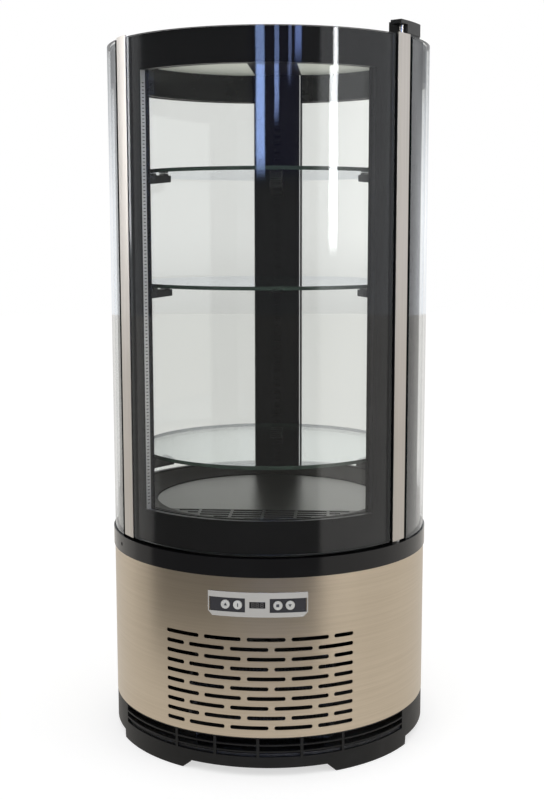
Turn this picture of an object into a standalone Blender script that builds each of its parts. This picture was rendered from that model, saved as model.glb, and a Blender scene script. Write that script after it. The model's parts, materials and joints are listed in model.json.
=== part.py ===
# Round refrigerated display case for a counter, in metres, +Z up, front facing -Y.
# A steel drum with the cooling unit carries a drum of glass with shelves, a curved door and a flat roof.
import math

import bmesh
import bpy
from mathutils import Matrix, Vector

for old in list(bpy.data.objects):
    bpy.data.objects.remove(old, do_unlink=True)

# Fits
GAP = 0.0003            # clearance between pieces that rest on each other
RUN = 0.0001            # play of a pin or shaft that turns in its hole
WELD = 0.0000001
FACET = 6.0             # degrees that one flat side of the drum takes
FULL = 360.0

# Drum, from the glass outwards and inwards
GLASS_RADIUS = 0.225
PANE = 0.004            # thickness of one sheet of glass
PANE_SPACE = 0.008      # dry air between the two sheets
SEAT_STEP = 0.006       # from the inner sheet to the door's seat
WRAP_STEP = 0.0009
WRAP_SHEET = 0.001
COLLAR_STEP = 0.0023
OUTER_IN = GLASS_RADIUS - PANE
INNER_OUT = OUTER_IN - PANE_SPACE
INNER_IN = INNER_OUT - PANE
SEAT_RADIUS = INNER_IN - SEAT_STEP
WRAP_RADIUS = GLASS_RADIUS + WRAP_STEP
WRAP_IN = WRAP_RADIUS - WRAP_SHEET
COLLAR_RADIUS = GLASS_RADIUS + COLLAR_STEP
SPACER_IN = INNER_OUT + GAP
SPACER_OUT = OUTER_IN - GAP

# Heights, from the floor up
FOOT_HEIGHT = 0.0116
PLINTH_TOP = 0.0535
WRAP_HEIGHT = 0.2179
COLLAR_HEIGHT = 0.025
GLASS_HEIGHT = 0.6737
BORDER_HEIGHT = 0.0477  # black band at the foot of the glass
ROOF_RECESS = 0.002
ROOF_SHEET = 0.008
ROOF_SKIRT = 0.043
WRAP_BOTTOM = PLINTH_TOP + GAP
WRAP_TOP = WRAP_BOTTOM + WRAP_HEIGHT
COLLAR_BOTTOM = WRAP_TOP + GAP
COLLAR_TOP = COLLAR_BOTTOM + COLLAR_HEIGHT
GLASS_BOTTOM = COLLAR_TOP + GAP
GLASS_TOP = GLASS_BOTTOM + GLASS_HEIGHT
ROOF_TOP = GLASS_TOP - ROOF_RECESS
ROOF_BOTTOM = ROOF_TOP - ROOF_SHEET
SKIRT_BOTTOM = ROOF_BOTTOM - ROOF_SKIRT
RIM_TOP = GLASS_BOTTOM + BORDER_HEIGHT


def flat_share(angle, facet=FACET):
    """Part of the full radius that a flat side keeps at this angle."""
    offset = angle % facet - facet / 2
    return math.cos(math.radians(facet / 2)) / math.cos(math.radians(offset))


def polar(radius, angle, height, facet=FACET):
    """Point on a flat-sided drum; the angle counts from the front towards +X."""
    reach = radius * flat_share(angle, facet)
    turn = math.radians(angle)
    return Vector((reach * math.sin(turn), -reach * math.cos(turn), height))


def facet_middle(angle):
    """Angle in the middle of the flat side that holds this angle."""
    return math.floor(angle / FACET) * FACET + FACET / 2


def outward(angle):
    """Unit vector out of the drum at this angle."""
    turn = math.radians(angle)
    return Vector((math.sin(turn), -math.cos(turn), 0))


def span_angle(length, radius):
    """Degrees that a short length takes at a radius."""
    return math.degrees(length / radius)


def material(name, colour, roughness, metallic=0.0, clear=0.0):
    """Plain surface of one piece."""
    look = bpy.data.materials.new(name)
    look.use_nodes = True
    shader = look.node_tree.nodes["Principled BSDF"]
    shader.inputs["Base Color"].default_value = (*colour, 1.0)
    shader.inputs["Roughness"].default_value = roughness
    shader.inputs["Metallic"].default_value = metallic
    shader.inputs["Transmission Weight"].default_value = clear
    return look


BLACK_PLASTIC = material("black_plastic", (0.018, 0.018, 0.02), 0.45)
GLOSS_BLACK = material("gloss_black", (0.008, 0.008, 0.009), 0.12)
STEEL = material("brushed_steel", (0.46, 0.41, 0.34), 0.34, 1.0)
BRIGHT_STEEL = material("bright_steel", (0.62, 0.6, 0.57), 0.2, 1.0)
GALVANISED = material("galvanised", (0.5, 0.5, 0.5), 0.45, 1.0)
ALUMINIUM = material("aluminium", (0.66, 0.67, 0.67), 0.4, 1.0)
COPPER = material("copper", (0.6, 0.27, 0.14), 0.35, 1.0)
CLEAR_GLASS = material("clear_glass", (0.9, 0.95, 0.93), 0.03, 0.0, 0.9)
SHELF_GLASS = material("shelf_glass", (0.8, 0.92, 0.87), 0.04, 0.0, 0.9)
DARK_PANEL = material("dark_panel", (0.05, 0.055, 0.075), 0.3)
SILVER_PANEL = material("silver_panel", (0.4, 0.39, 0.39), 0.35, 0.6)
BUTTON_GREY = material("button_grey", (0.5, 0.51, 0.52), 0.45)
WHITE_PLASTIC = material("white_plastic", (0.78, 0.77, 0.73), 0.5)
WHITE_PAINT = material("white_paint", (0.62, 0.63, 0.6), 0.4)
RUBBER = material("black_rubber", (0.02, 0.02, 0.02), 0.7)
DARK_PAINT = material("dark_paint", (0.03, 0.03, 0.033), 0.35)


def make_piece(name, bm, look, sharp=30.0):
    """Closed body with clean normals, smooth over its round sides."""
    bmesh.ops.remove_doubles(bm, verts=bm.verts, dist=WELD)
    bmesh.ops.recalc_face_normals(bm, faces=bm.faces)
    mesh = bpy.data.meshes.new(name)
    bm.to_mesh(mesh)
    bm.free()
    if look:
        mesh.materials.append(look)
    piece = bpy.data.objects.new(name, mesh)
    bpy.context.scene.collection.objects.link(piece)
    shade(piece, sharp)
    return piece


def shade(piece, sharp=30.0):
    """Smooth shading with sharp edges kept."""
    piece.data.shade_smooth()
    piece.data.set_sharp_from_angle(angle=math.radians(sharp))


def carve(piece, tool, operation="DIFFERENCE"):
    """Cut a tool body out of a piece, or join it on."""
    step = piece.modifiers.new(operation.lower(), "BOOLEAN")
    step.operation = operation
    step.solver = "EXACT"
    step.object = tool
    graph = bpy.context.evaluated_depsgraph_get()
    shaped = bpy.data.meshes.new_from_object(piece.evaluated_get(graph))
    piece.modifiers.remove(step)
    piece.data = shaped
    bpy.data.objects.remove(tool, do_unlink=True)
    shade(piece)


def set_origin(piece, point):
    """Move a piece's origin to a point and leave its shape where it is."""
    piece.data.transform(Matrix.Translation(-Vector(point)))
    piece.location = point


def skin_loops(bm, loops, closed=False):
    """Walls between matching loops of points, with end faces when it isn't a ring."""
    rings = [[bm.verts.new(point) for point in loop] for loop in loops]
    followers = rings[1:] + rings[:1] if closed else rings[1:]
    for one, two in zip(rings, followers):
        for index in range(len(one)):
            bm.faces.new((one[index - 1], one[index], two[index], two[index - 1]))
    if not closed:
        bm.faces.new(rings[0])
        bm.faces.new(list(reversed(rings[-1])))


def turns(start, end, facet=FACET, shift=0.0):
    """Angles where an arc from start to end changes its flat side, or shifted from there."""
    first = math.floor((start - shift) / facet) + 1
    last = math.ceil((end - shift) / facet) - 1
    return [start] + [step * facet + shift for step in range(first, last + 1)] + [end]


def unique(values):
    """Sorted values without near repeats."""
    kept = []
    for value in sorted(values):
        if not kept or value - kept[-1] > WELD:
            kept.append(value)
    return kept


def inside(blocks, centre):
    """True when a point lies in one of the blocks."""
    return any(all(span[0] < mark < span[1] for span, mark in zip(block, centre)) for block in blocks)


def from_blocks(name, adds, cuts, look, place, splits=(), ring=False):
    """One body from blocks with three spans each, less the cuts; place() maps to space."""
    lines = []
    for axis in range(3):
        marks = unique([mark for block in adds + cuts for mark in block[axis]])
        low = min(block[axis][0] for block in adds)
        high = max(block[axis][1] for block in adds)
        extra = [mark for mark in splits if low < mark < high] if axis == 0 else []
        lines.append(unique([mark for mark in marks if low - WELD <= mark <= high + WELD] + extra))
    counts = [len(line) - 1 for line in lines]
    full = set()
    for i in range(counts[0]):
        for j in range(counts[1]):
            for k in range(counts[2]):
                centre = [(lines[a][n] + lines[a][n + 1]) / 2 for a, n in enumerate((i, j, k))]
                if inside(adds, centre) and not inside(cuts, centre):
                    full.add((i, j, k))
    bm = bmesh.new()
    corners = {}

    def corner(i, j, k):
        key = (i % counts[0] if ring else i, j, k)
        if key not in corners:
            corners[key] = bm.verts.new(place(lines[0][key[0]], lines[1][j], lines[2][k]))
        return corners[key]

    for i, j, k in sorted(full):
        near = (i - 1) % counts[0] if ring else i - 1
        far = (i + 1) % counts[0] if ring else i + 1
        sides = [
            ((near, j, k), [(i, j, k), (i, j, k + 1), (i, j + 1, k + 1), (i, j + 1, k)]),
            ((far, j, k), [(i + 1, j, k), (i + 1, j + 1, k), (i + 1, j + 1, k + 1), (i + 1, j, k + 1)]),
            ((i, j - 1, k), [(i, j, k), (i + 1, j, k), (i + 1, j, k + 1), (i, j, k + 1)]),
            ((i, j + 1, k), [(i, j + 1, k), (i, j + 1, k + 1), (i + 1, j + 1, k + 1), (i + 1, j + 1, k)]),
            ((i, j, k - 1), [(i, j, k), (i, j + 1, k), (i + 1, j + 1, k), (i + 1, j, k)]),
            ((i, j, k + 1), [(i, j, k + 1), (i + 1, j, k + 1), (i + 1, j + 1, k + 1), (i, j + 1, k + 1)]),
        ]
        for neighbour, quad in sides:
            at_axis = ring and neighbour[1] < 0 and lines[1][0] < WELD
            if neighbour not in full and not at_axis:
                bm.faces.new([corner(*key) for key in quad])
    bmesh.ops.remove_doubles(bm, verts=bm.verts, dist=WELD)
    bmesh.ops.dissolve_limit(bm, angle_limit=math.radians(0.02), verts=bm.verts, edges=bm.edges)
    return make_piece(name, bm, look)


def drum_piece(name, adds, look, cuts=(), facet=FACET):
    """Body from blocks of (angles, radii, heights) around the drum's axis."""
    ring = any(block[0][1] - block[0][0] > FULL - FACET for block in adds)
    edges = [step * facet for step in range(-math.ceil(FULL / facet), math.ceil(FULL / facet) + 1)]

    def place(angle, radius, height):
        return polar(radius, angle, height, facet)

    return from_blocks(name, list(adds), list(cuts), look, place, edges, ring)


def box_piece(name, adds, look, cuts=()):
    """Body from blocks of (x, y, z) spans."""
    return from_blocks(name, list(adds), list(cuts), look, lambda x, y, z: Vector((x, y, z)))


def upright(name, outline, low, high, look):
    """Plan outline drawn up from one height to another."""
    bm = bmesh.new()
    loops = [[Vector((x, y, height)) for x, y in outline] for height in (low, high)]
    skin_loops(bm, loops)
    return make_piece(name, bm, look)


def turned(name, profile, look, centre=(0, 0), sides=16):
    """Round body from (radius, height) points that start and end on its axis."""
    bm = bmesh.new()
    loops = []
    for step in range(sides):
        turn = 2 * math.pi * step / sides
        loops.append([Vector((r * math.cos(turn) + centre[0], r * math.sin(turn) + centre[1], z)) for r, z in profile])
    rings = [[bm.verts.new(point) for point in loop] for loop in loops]
    for one, two in zip(rings, rings[1:] + rings[:1]):
        for index in range(1, len(profile)):
            bm.faces.new((one[index - 1], one[index], two[index], two[index - 1]))
    return make_piece(name, bm, look)


def rod(name, radius, low, high, look, centre=(0, 0), sides=16):
    """Plain round bar."""
    return turned(name, [(0, low), (radius, low), (radius, high), (0, high)], look, centre, sides)


def mirrored(side, start, end):
    """Angles of a span on the right side, or of its twin on the left."""
    return (start, end) if side == "right" else (-end, -start)


# Plinth: moulded ring with four feet and three rows of vents
PLINTH_WALL = 0.0033
PLINTH_LIP = 0.0085     # stands up inside the steel drum
FLANGE_LEVEL = 0.0165
FLANGE_SHEET = 0.002
FLANGE_WIDTH = 0.017
FOOT_WIDTH = 0.015
FOOT_NOTCH = 24.0       # angles of the front foot: raised edge, toe and heel
FOOT_TOE = 27.4
FOOT_HEEL = 62.0
FOOT_HEEL_TOP = 62.4
VENT_RIBS = (0.0, 15.0, 30.0, 60.0)
VENT_RIB_HALF = 0.5
VENT_TOP_ROW = (0.0437, 0.0522)
VENT_MIDDLE_ROW = (0.0348, 0.0417)
VENT_LOW_ROW = (0.0266, 0.0328)
CUT_MARGIN = 0.003      # how far a cut runs past the sheet
BEND_SHARE = 0.75       # shape of a slot's round end
BEND_END_SHARE = 0.45
PLINTH_RADIUS = WRAP_RADIUS - GAP
PLINTH_IN = PLINTH_RADIUS - PLINTH_WALL


def on_foot(angle):
    """True where the plinth reaches the floor."""
    folded = abs((angle + 180) % FULL - 180)
    folded = min(folded, 180 - folded)
    return FOOT_TOE - 0.01 < folded < FOOT_HEEL + 0.01


def plinth_profile(angle):
    """Section of the plinth at one angle."""
    bottom = 0 if on_foot(angle) else FOOT_HEIGHT
    heel = PLINTH_IN - FOOT_WIDTH if on_foot(angle) else PLINTH_IN
    return [
        (PLINTH_RADIUS, bottom),
        (PLINTH_RADIUS, PLINTH_TOP),
        (WRAP_IN - GAP, PLINTH_TOP),
        (WRAP_IN - GAP, PLINTH_TOP + PLINTH_LIP),
        (PLINTH_IN, PLINTH_TOP + PLINTH_LIP),
        (PLINTH_IN, FLANGE_LEVEL),
        (PLINTH_IN - FLANGE_WIDTH, FLANGE_LEVEL),
        (PLINTH_IN - FLANGE_WIDTH, FLANGE_LEVEL - FLANGE_SHEET),
        (heel, FLANGE_LEVEL - FLANGE_SHEET),
        (heel, bottom),
    ]


def arc_tool(spans, low_radius, high_radius, end_round=False):
    """Cutter of many slots; a span is (start angle, end angle, low height, high height)."""
    bm = bmesh.new()
    for start, end, low, high in spans:
        middle = (low + high) / 2
        half = (high - low) / 2
        angles = turns(start, end, shift=FACET / 2)
        shares = [1.0] * len(angles)
        if end_round:
            bend = span_angle(half, high_radius)
            inner = (start + BEND_SHARE * bend, end - BEND_SHARE * bend)
            angles = [start] + turns(*inner, shift=FACET / 2) + [end]
            shares = [BEND_END_SHARE] + [1.0] * (len(angles) - 2) + [BEND_END_SHARE]
        loops = []
        for angle, share in zip(angles, shares):
            below = middle - half * share
            above = middle + half * share
            loops.append([polar(low_radius, angle, below), polar(high_radius, angle, below),
                          polar(high_radius, angle, above), polar(low_radius, angle, above)])
        skin_loops(bm, loops)
    return make_piece("arc_tool", bm, None)


def plinth():
    """Moulded foot ring."""
    angles = {step * FACET for step in range(int(FULL / FACET))}
    for quarter in (0.0, 180.0):
        for mark in (FOOT_NOTCH, FOOT_TOE, FOOT_HEEL, FOOT_HEEL_TOP):
            angles.add((quarter + mark) % FULL)
            angles.add((quarter - mark) % FULL)
    loops = [[polar(r, angle, z) for r, z in plinth_profile(angle)] for angle in unique(angles)]
    bm = bmesh.new()
    skin_loops(bm, loops, closed=True)
    ring = make_piece("plinth", bm, BLACK_PLASTIC)
    spans = []
    for low, high in (VENT_TOP_ROW, VENT_MIDDLE_ROW, VENT_LOW_ROW):
        for start, end in zip(VENT_RIBS, VENT_RIBS[1:]):
            inner = (start + VENT_RIB_HALF, end - VENT_RIB_HALF)
            spans.append((*inner, low, high))
            spans.append((-inner[1], -inner[0], low, high))
    carve(ring, arc_tool(spans, PLINTH_IN - CUT_MARGIN, PLINTH_RADIUS + CUT_MARGIN))


TRAY_SHEET = 0.0012
TRAY_RIM = 0.0135
TRAY_RADIUS = PLINTH_IN - GAP
TRAY_BOTTOM = FLANGE_LEVEL + GAP
TRAY_TOP = TRAY_BOTTOM + TRAY_SHEET


def base_tray():
    """Floor sheet with an upturned rim."""
    sheet = ((0, FULL), (0, TRAY_RADIUS), (TRAY_BOTTOM, TRAY_TOP))
    rim = ((0, FULL), (TRAY_RADIUS - TRAY_SHEET, TRAY_RADIUS), (TRAY_BOTTOM, TRAY_BOTTOM + TRAY_RIM))
    drum_piece("base_tray", [sheet, rim], GALVANISED, facet=FACET)


# Steel drum: air grille in front, louvres and cord inlet behind, cut-out for the control panel
GRILLE_TOP_ROW = 0.1882
GRILLE_PITCH = 0.01345
GRILLE_ROWS = 10
GRILLE_LIMIT = 33.65
SLOT_SPAN = 13.05
SLOT_STEP = 15.0
SLOT_HEIGHT = 0.0055
PANEL_LOW = 0.219
PANEL_HIGH = 0.252
PANEL_HALF = 16.85
CUTOUT_HALF = 16.3
CUTOUT_BORDER = 0.0025
LOUVRE_LOW = 0.082
LOUVRE_PITCH = 0.018
LOUVRE_ROWS = 6
LOUVRE_START = 146.0
LOUVRE_END = 170.0
LOUVRE_HEIGHT = 0.006
INLET_ANGLE = 183.0
INLET_LEVEL = 0.09
INLET_HOLE = 0.0083
INLET_FLANGE = 0.0105
INLET_BORE = 0.0042
INLET_SHEET = 0.0012
INLET_DEPTH = 0.018


def grille_spans():
    """Staggered rows of slots, each row the mirror image of the one above."""
    spans = []
    for row in range(GRILLE_ROWS):
        middle = GRILLE_TOP_ROW - row * GRILLE_PITCH
        start = -GRILLE_LIMIT
        while start < GRILLE_LIMIT:
            end = min(start + SLOT_SPAN, GRILLE_LIMIT)
            ends = (start, end) if row % 2 == 0 else (-end, -start)
            spans.append((*ends, middle - SLOT_HEIGHT / 2, middle + SLOT_HEIGHT / 2))
            start += SLOT_STEP
    return spans


def louvre_spans():
    """Two fields of long slots at the back."""
    spans = []
    for row in range(LOUVRE_ROWS):
        low = LOUVRE_LOW + row * LOUVRE_PITCH
        for start, end in ((LOUVRE_START, LOUVRE_END), (FULL - LOUVRE_END, FULL - LOUVRE_START)):
            spans.append((start, end, low, low + LOUVRE_HEIGHT))
    return spans


def facing(piece, angle, radius, height):
    """Turn a body that was drawn up along Z so that it points out of the drum's flat side."""
    normal = outward(facet_middle(angle))
    turn = Vector((0, 0, 1)).rotation_difference(normal).to_matrix().to_4x4()
    point = polar(radius, angle, height)
    piece.data.transform(turn)
    piece.location = point
    return piece


def body_wrap():
    """Brushed steel drum."""
    wall = ((0, FULL), (WRAP_IN, WRAP_RADIUS), (WRAP_BOTTOM, WRAP_TOP))
    drum = drum_piece("body_wrap", [wall], STEEL)
    low_radius = WRAP_IN - CUT_MARGIN
    high_radius = WRAP_RADIUS + CUT_MARGIN
    carve(drum, arc_tool(grille_spans(), low_radius, high_radius, end_round=True))
    carve(drum, arc_tool(louvre_spans(), low_radius, high_radius))
    opening = (-CUTOUT_HALF, CUTOUT_HALF, PANEL_LOW + CUTOUT_BORDER, PANEL_HIGH - CUTOUT_BORDER)
    carve(drum, arc_tool([opening], low_radius, high_radius))
    hole = rod("hole", INLET_HOLE, -CUT_MARGIN, CUT_MARGIN, None)
    carve(drum, facing(hole, INLET_ANGLE, WRAP_RADIUS, INLET_LEVEL))


def cable_gland():
    """Inlet for the mains cord."""
    flange = ((0, FULL), (INLET_BORE, INLET_FLANGE), (GAP, GAP + INLET_SHEET))
    barrel = ((0, FULL), (INLET_BORE, INLET_HOLE - GAP), (-INLET_DEPTH, GAP))
    gland = drum_piece("cable_gland", [flange, barrel], BLACK_PLASTIC, facet=20.0)
    facing(gland, INLET_ANGLE, WRAP_RADIUS, INLET_LEVEL)


# Control panel
BEZEL_SHEET = 0.001
BEZEL_CORNER = 0.006
BEZEL_IN = WRAP_RADIUS + GAP
BEZEL_OUT = BEZEL_IN + BEZEL_SHEET
STRIP_INNER = 4.08
STRIP_OUTER = 16.55
STRIP_LOW = 0.2252
STRIP_HIGH = 0.2442
DISPLAY_HALF = 2.65
DISPLAY_LOW = 0.231
DISPLAY_HIGH = 0.2397
PLATE_SHEET = 0.0019
PLATE_OUT = WRAP_RADIUS
PLATE_IN = PLATE_OUT - PLATE_SHEET
PLATE_MARGIN = 0.0004
BUTTON_ANGLES = (-10.8, -6.6, 6.8, 10.9)
BUTTON_LEVEL = 0.235
BUTTON_RADIUS = 0.006
BUTTON_PROUD = 0.0018
BUTTON_FLANGE = 0.0072
BUTTON_FLANGE_SHEET = 0.0009
BUTTON_FLANGE_DROP = 0.0008
BUTTON_TRAVEL = 0.001


def panel_bezel():
    """Curved silver plate with two long windows and a display window."""
    plate = ((-PANEL_HALF, PANEL_HALF), (BEZEL_IN, BEZEL_OUT), (PANEL_LOW, PANEL_HIGH))
    strips = [(mirrored(side, STRIP_INNER, STRIP_OUTER), (BEZEL_IN, BEZEL_OUT), (STRIP_LOW, STRIP_HIGH))
              for side in ("left", "right")]
    window = ((-DISPLAY_HALF, DISPLAY_HALF), (BEZEL_IN, BEZEL_OUT), (DISPLAY_LOW, DISPLAY_HIGH))
    bezel = drum_piece("panel_bezel", [plate], SILVER_PANEL, strips + [window])
    bm = bmesh.new()
    reach = span_angle(BEZEL_CORNER, BEZEL_OUT)
    margin = span_angle(CUT_MARGIN, BEZEL_OUT)
    for side in (-1, 1):
        loops = []
        for radius in (BEZEL_IN - CUT_MARGIN, BEZEL_OUT + CUT_MARGIN):
            loops.append([
                polar(radius, side * (PANEL_HALF - reach - margin), PANEL_LOW - CUT_MARGIN),
                polar(radius, side * (PANEL_HALF + margin), PANEL_LOW - CUT_MARGIN),
                polar(radius, side * (PANEL_HALF + margin), PANEL_LOW + BEZEL_CORNER + CUT_MARGIN),
            ])
        skin_loops(bm, loops)
    carve(bezel, make_piece("corner_tool", bm, None))


def button_plate():
    """Dark plate behind the windows, with a hole for each button."""
    half = CUTOUT_HALF - span_angle(PLATE_MARGIN, PLATE_OUT)
    low = PANEL_LOW + CUTOUT_BORDER + PLATE_MARGIN
    high = PANEL_HIGH - CUTOUT_BORDER - PLATE_MARGIN
    plate = drum_piece("button_plate", [((-half, half), (PLATE_IN, PLATE_OUT), (low, high))], DARK_PANEL)
    for angle in BUTTON_ANGLES:
        hole = rod("hole", BUTTON_RADIUS + GAP, -PLATE_SHEET - CUT_MARGIN, CUT_MARGIN, None)
        carve(plate, facing(hole, angle, PLATE_OUT, BUTTON_LEVEL))


def display_window():
    """Dark window over the temperature display."""
    half = DISPLAY_HALF - span_angle(GAP, BEZEL_IN)
    block = ((-half, half), (BEZEL_IN, BEZEL_OUT - GAP), (DISPLAY_LOW + GAP, DISPLAY_HIGH - GAP))
    drum_piece("display_window", [block], GLOSS_BLACK)


def buttons():
    """Four round push buttons with a retaining flange behind the plate."""
    seat = -PLATE_SHEET - BUTTON_FLANGE_DROP
    for number, angle in enumerate(BUTTON_ANGLES, 1):
        profile = [
            (0, seat - BUTTON_FLANGE_SHEET),
            (BUTTON_FLANGE, seat - BUTTON_FLANGE_SHEET),
            (BUTTON_FLANGE, seat),
            (BUTTON_RADIUS, seat),
            (BUTTON_RADIUS, BUTTON_PROUD),
            (0, BUTTON_PROUD),
        ]
        facing(turned(f"button_{number}", profile, BUTTON_GREY), angle, PLATE_OUT, BUTTON_LEVEL)


# Collar that carries the glass and the lower hinge
COLLAR_WALL = 0.0027
COLLAR_TONGUE = 0.002
TONGUE_DEPTH = 0.01
COLLAR_PLATE = 0.008
TUB_RADIUS = SEAT_RADIUS - SEAT_STEP
HINGE_ANGLE = 57.4
HINGE_INSET = 0.009     # the hinge's axis lies inside the glass surface
PIN_RADIUS = 0.0025
BUSH_RADIUS = 0.0053
BUSH_SEAT = 0.0035
DOOR_LIFT = 0.004
HINGE_RADIUS = GLASS_RADIUS - HINGE_INSET
HINGE_AT = outward(HINGE_ANGLE) * HINGE_RADIUS
DIMPLE_ANGLE = -61.5
DIMPLE_RADIUS = 0.0028
DIMPLE_DEPTH = 0.0013


def collar():
    """Black ring between the drum and the door."""
    skirt = ((0, FULL), (WRAP_IN - GAP, COLLAR_RADIUS), (COLLAR_BOTTOM, COLLAR_TOP))
    tongue = ((0, FULL), (WRAP_IN - GAP - COLLAR_TONGUE, WRAP_IN - GAP), (COLLAR_BOTTOM - TONGUE_DEPTH, COLLAR_TOP))
    plate = ((0, FULL), (TUB_RADIUS + GAP, WRAP_IN - GAP), (COLLAR_TOP - COLLAR_PLATE, COLLAR_TOP))
    ring = drum_piece("collar", [skirt, tongue, plate], GLOSS_BLACK)
    profile = [
        (0, COLLAR_BOTTOM),
        (PIN_RADIUS + RUN, COLLAR_BOTTOM),
        (PIN_RADIUS + RUN, COLLAR_TOP - BUSH_SEAT),
        (BUSH_RADIUS + GAP, COLLAR_TOP - BUSH_SEAT),
        (BUSH_RADIUS + GAP, COLLAR_TOP + CUT_MARGIN),
        (0, COLLAR_TOP + CUT_MARGIN),
    ]
    carve(ring, turned("bush_tool", profile, None, HINGE_AT))
    level = (COLLAR_BOTTOM + COLLAR_TOP) / 2
    dimple = rod("dimple", DIMPLE_RADIUS, -DIMPLE_DEPTH, CUT_MARGIN, None, sides=12)
    carve(ring, facing(dimple, DIMPLE_ANGLE, COLLAR_RADIUS, level))


# Insulated tub under the cold space, with the cold coil and its fan
TUB_WALL = 0.017
TUB_FLANGE = 0.003
TUB_FLOOR = 0.015
TUB_BOTTOM = 0.2
TUB_IN = TUB_RADIUS - TUB_WALL
FLANGE_TOP = GLASS_BOTTOM + TUB_FLANGE
COIL_LENGTH = 0.18
COIL_DEPTH = 0.06
COIL_CORE = 0.012
COIL_HEIGHT = 0.07
COIL_FINS = 14
FIN_SHARE = 0.35
PIPE_RADIUS = 0.004
PIPE_LEVEL = 0.25
PIPE_SIDE = 0.025
PIPE_LOW = 0.182
COIL_FLOOR = TUB_BOTTOM + TUB_FLOOR + GAP


def insulated_tub():
    """Foam-filled tub that hangs in the collar."""
    wall = ((0, FULL), (TUB_IN, TUB_RADIUS), (TUB_BOTTOM, FLANGE_TOP))
    floor = ((0, FULL), (0, TUB_IN), (TUB_BOTTOM, TUB_BOTTOM + TUB_FLOOR))
    flange = ((0, FULL), (TUB_RADIUS, SEAT_RADIUS), (GLASS_BOTTOM, FLANGE_TOP))
    tub = drum_piece("insulated_tub", [wall, floor, flange], WHITE_PLASTIC)
    side = COIL_LENGTH / 2 + PIPE_SIDE
    low = TUB_BOTTOM - CUT_MARGIN
    high = TUB_BOTTOM + TUB_FLOOR + CUT_MARGIN
    carve(tub, rod("pipe_hole", PIPE_RADIUS + GAP, low, high, None, (side, 0), 12))
    carve(tub, rod("drain_hole", PIPE_RADIUS + GAP, low, high, None, (-side, 0), 12))


def finned_block(name, length, depth, core, low, high, fins, centre_y, look):
    """Coil with thin fins on both sides of its core."""
    pitch = length / fins
    front = []
    for number in range(fins):
        start = -length / 2 + number * pitch
        end = start + pitch * FIN_SHARE if number < fins - 1 else length / 2
        start = start if number < fins - 1 else length / 2 - pitch * FIN_SHARE
        front += [(start, -core / 2), (start, -depth / 2), (end, -depth / 2), (end, -core / 2)]
    back = [(x, -y) for x, y in reversed(front)]
    ends = [point for point in front + back]
    outline = unique_points([(x, y + centre_y) for x, y in ends])
    return upright(name, outline, low, high, look)


def unique_points(points):
    """Outline without repeated neighbours."""
    kept = []
    for point in points:
        if not kept or (Vector(point) - Vector(kept[-1])).length > WELD:
            kept.append(point)
    return kept


def evaporator():
    """Cold coil on the tub's floor."""
    finned_block("evaporator", COIL_LENGTH, COIL_DEPTH, COIL_CORE, COIL_FLOOR, COIL_FLOOR + COIL_HEIGHT,
                 COIL_FINS, 0, ALUMINIUM)


FAN_FACET = 15.0
FAN_WALL = 0.004
FAN_ARM_HALF = 8.0
FAN_ARM = 0.004
FAN_SHAFT = 0.003
FAN_PLAY = 0.002
BLADE_SHEET = 0.0015
TIP_SHARE = 0.38        # half width of a blade as a part of the fan's reach
ROOT_SHARE = 0.8
ROOT_CHORD_SHARE = 0.55
PITCH_SHARE = 0.8
TO_BACK = Matrix.Rotation(math.radians(-90), 4, "X")


def fan_frame(name, radius, depth, hub, centre):
    """Round shroud with four arms that hold the motor."""
    ring = ((0, FULL), (radius - FAN_WALL, radius), (0, depth))
    motor = ((0, FULL), (0, hub), (depth - FAN_ARM, depth + hub))
    shaft = ((0, FULL), (0, FAN_SHAFT), (depth / 2, depth))
    adds = [ring, motor, shaft]
    for angle in (45.0, 135.0, 225.0, 315.0):
        adds.append(((angle - FAN_ARM_HALF, angle + FAN_ARM_HALF), (hub, radius - FAN_WALL), (depth - FAN_ARM, depth)))
    frame = drum_piece(name, adds, BLACK_PLASTIC, facet=FAN_FACET)
    frame.data.transform(TO_BACK)
    frame.location = centre
    return frame


def fan_blades(name, radius, depth, hub, count, centre):
    """Hub with twisted blades that turns on the motor's shaft."""
    reach = radius - FAN_WALL - FAN_PLAY
    back = depth - FAN_ARM - GAP
    front = FAN_PLAY
    seat = ((0, FULL), (FAN_SHAFT + RUN, hub), (front, back))
    cap = ((0, FULL), (0, FAN_SHAFT + RUN), (front, depth / 2 - GAP))
    wheel = drum_piece(name, [seat, cap], BLACK_PLASTIC, facet=FAN_FACET)
    bm = bmesh.new()
    middle = (front + back) / 2
    half_depth = (back - front - BLADE_SHEET) / 2 - GAP
    tip_chord = reach * TIP_SHARE
    tip = math.sqrt(reach ** 2 - tip_chord ** 2) - BLADE_SHEET
    for number in range(count):
        turn = Matrix.Rotation(2 * math.pi * number / count, 4, "Z")
        loops = []
        for place, chord in ((hub * ROOT_SHARE, hub * ROOT_CHORD_SHARE), (tip, tip_chord)):
            rise = min(half_depth, chord * PITCH_SHARE)
            corners = []
            for side, lift in ((-1, -1), (1, 1)):
                corners.append((place, side * chord, middle + lift * rise - BLADE_SHEET / 2))
            for side, lift in ((1, 1), (-1, -1)):
                corners.append((place, side * chord, middle + lift * rise + BLADE_SHEET / 2))
            loops.append([turn @ Vector(corner) for corner in corners])
        skin_loops(bm, loops)
    carve(wheel, make_piece("blade_tool", bm, None), "UNION")
    wheel.data.transform(TO_BACK)
    wheel.location = centre
    return wheel


COIL_FAN_RADIUS = 0.042
COIL_FAN_DEPTH = 0.02
COIL_FAN_HUB = 0.011
COIL_FAN_SPACE = 0.004


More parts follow.
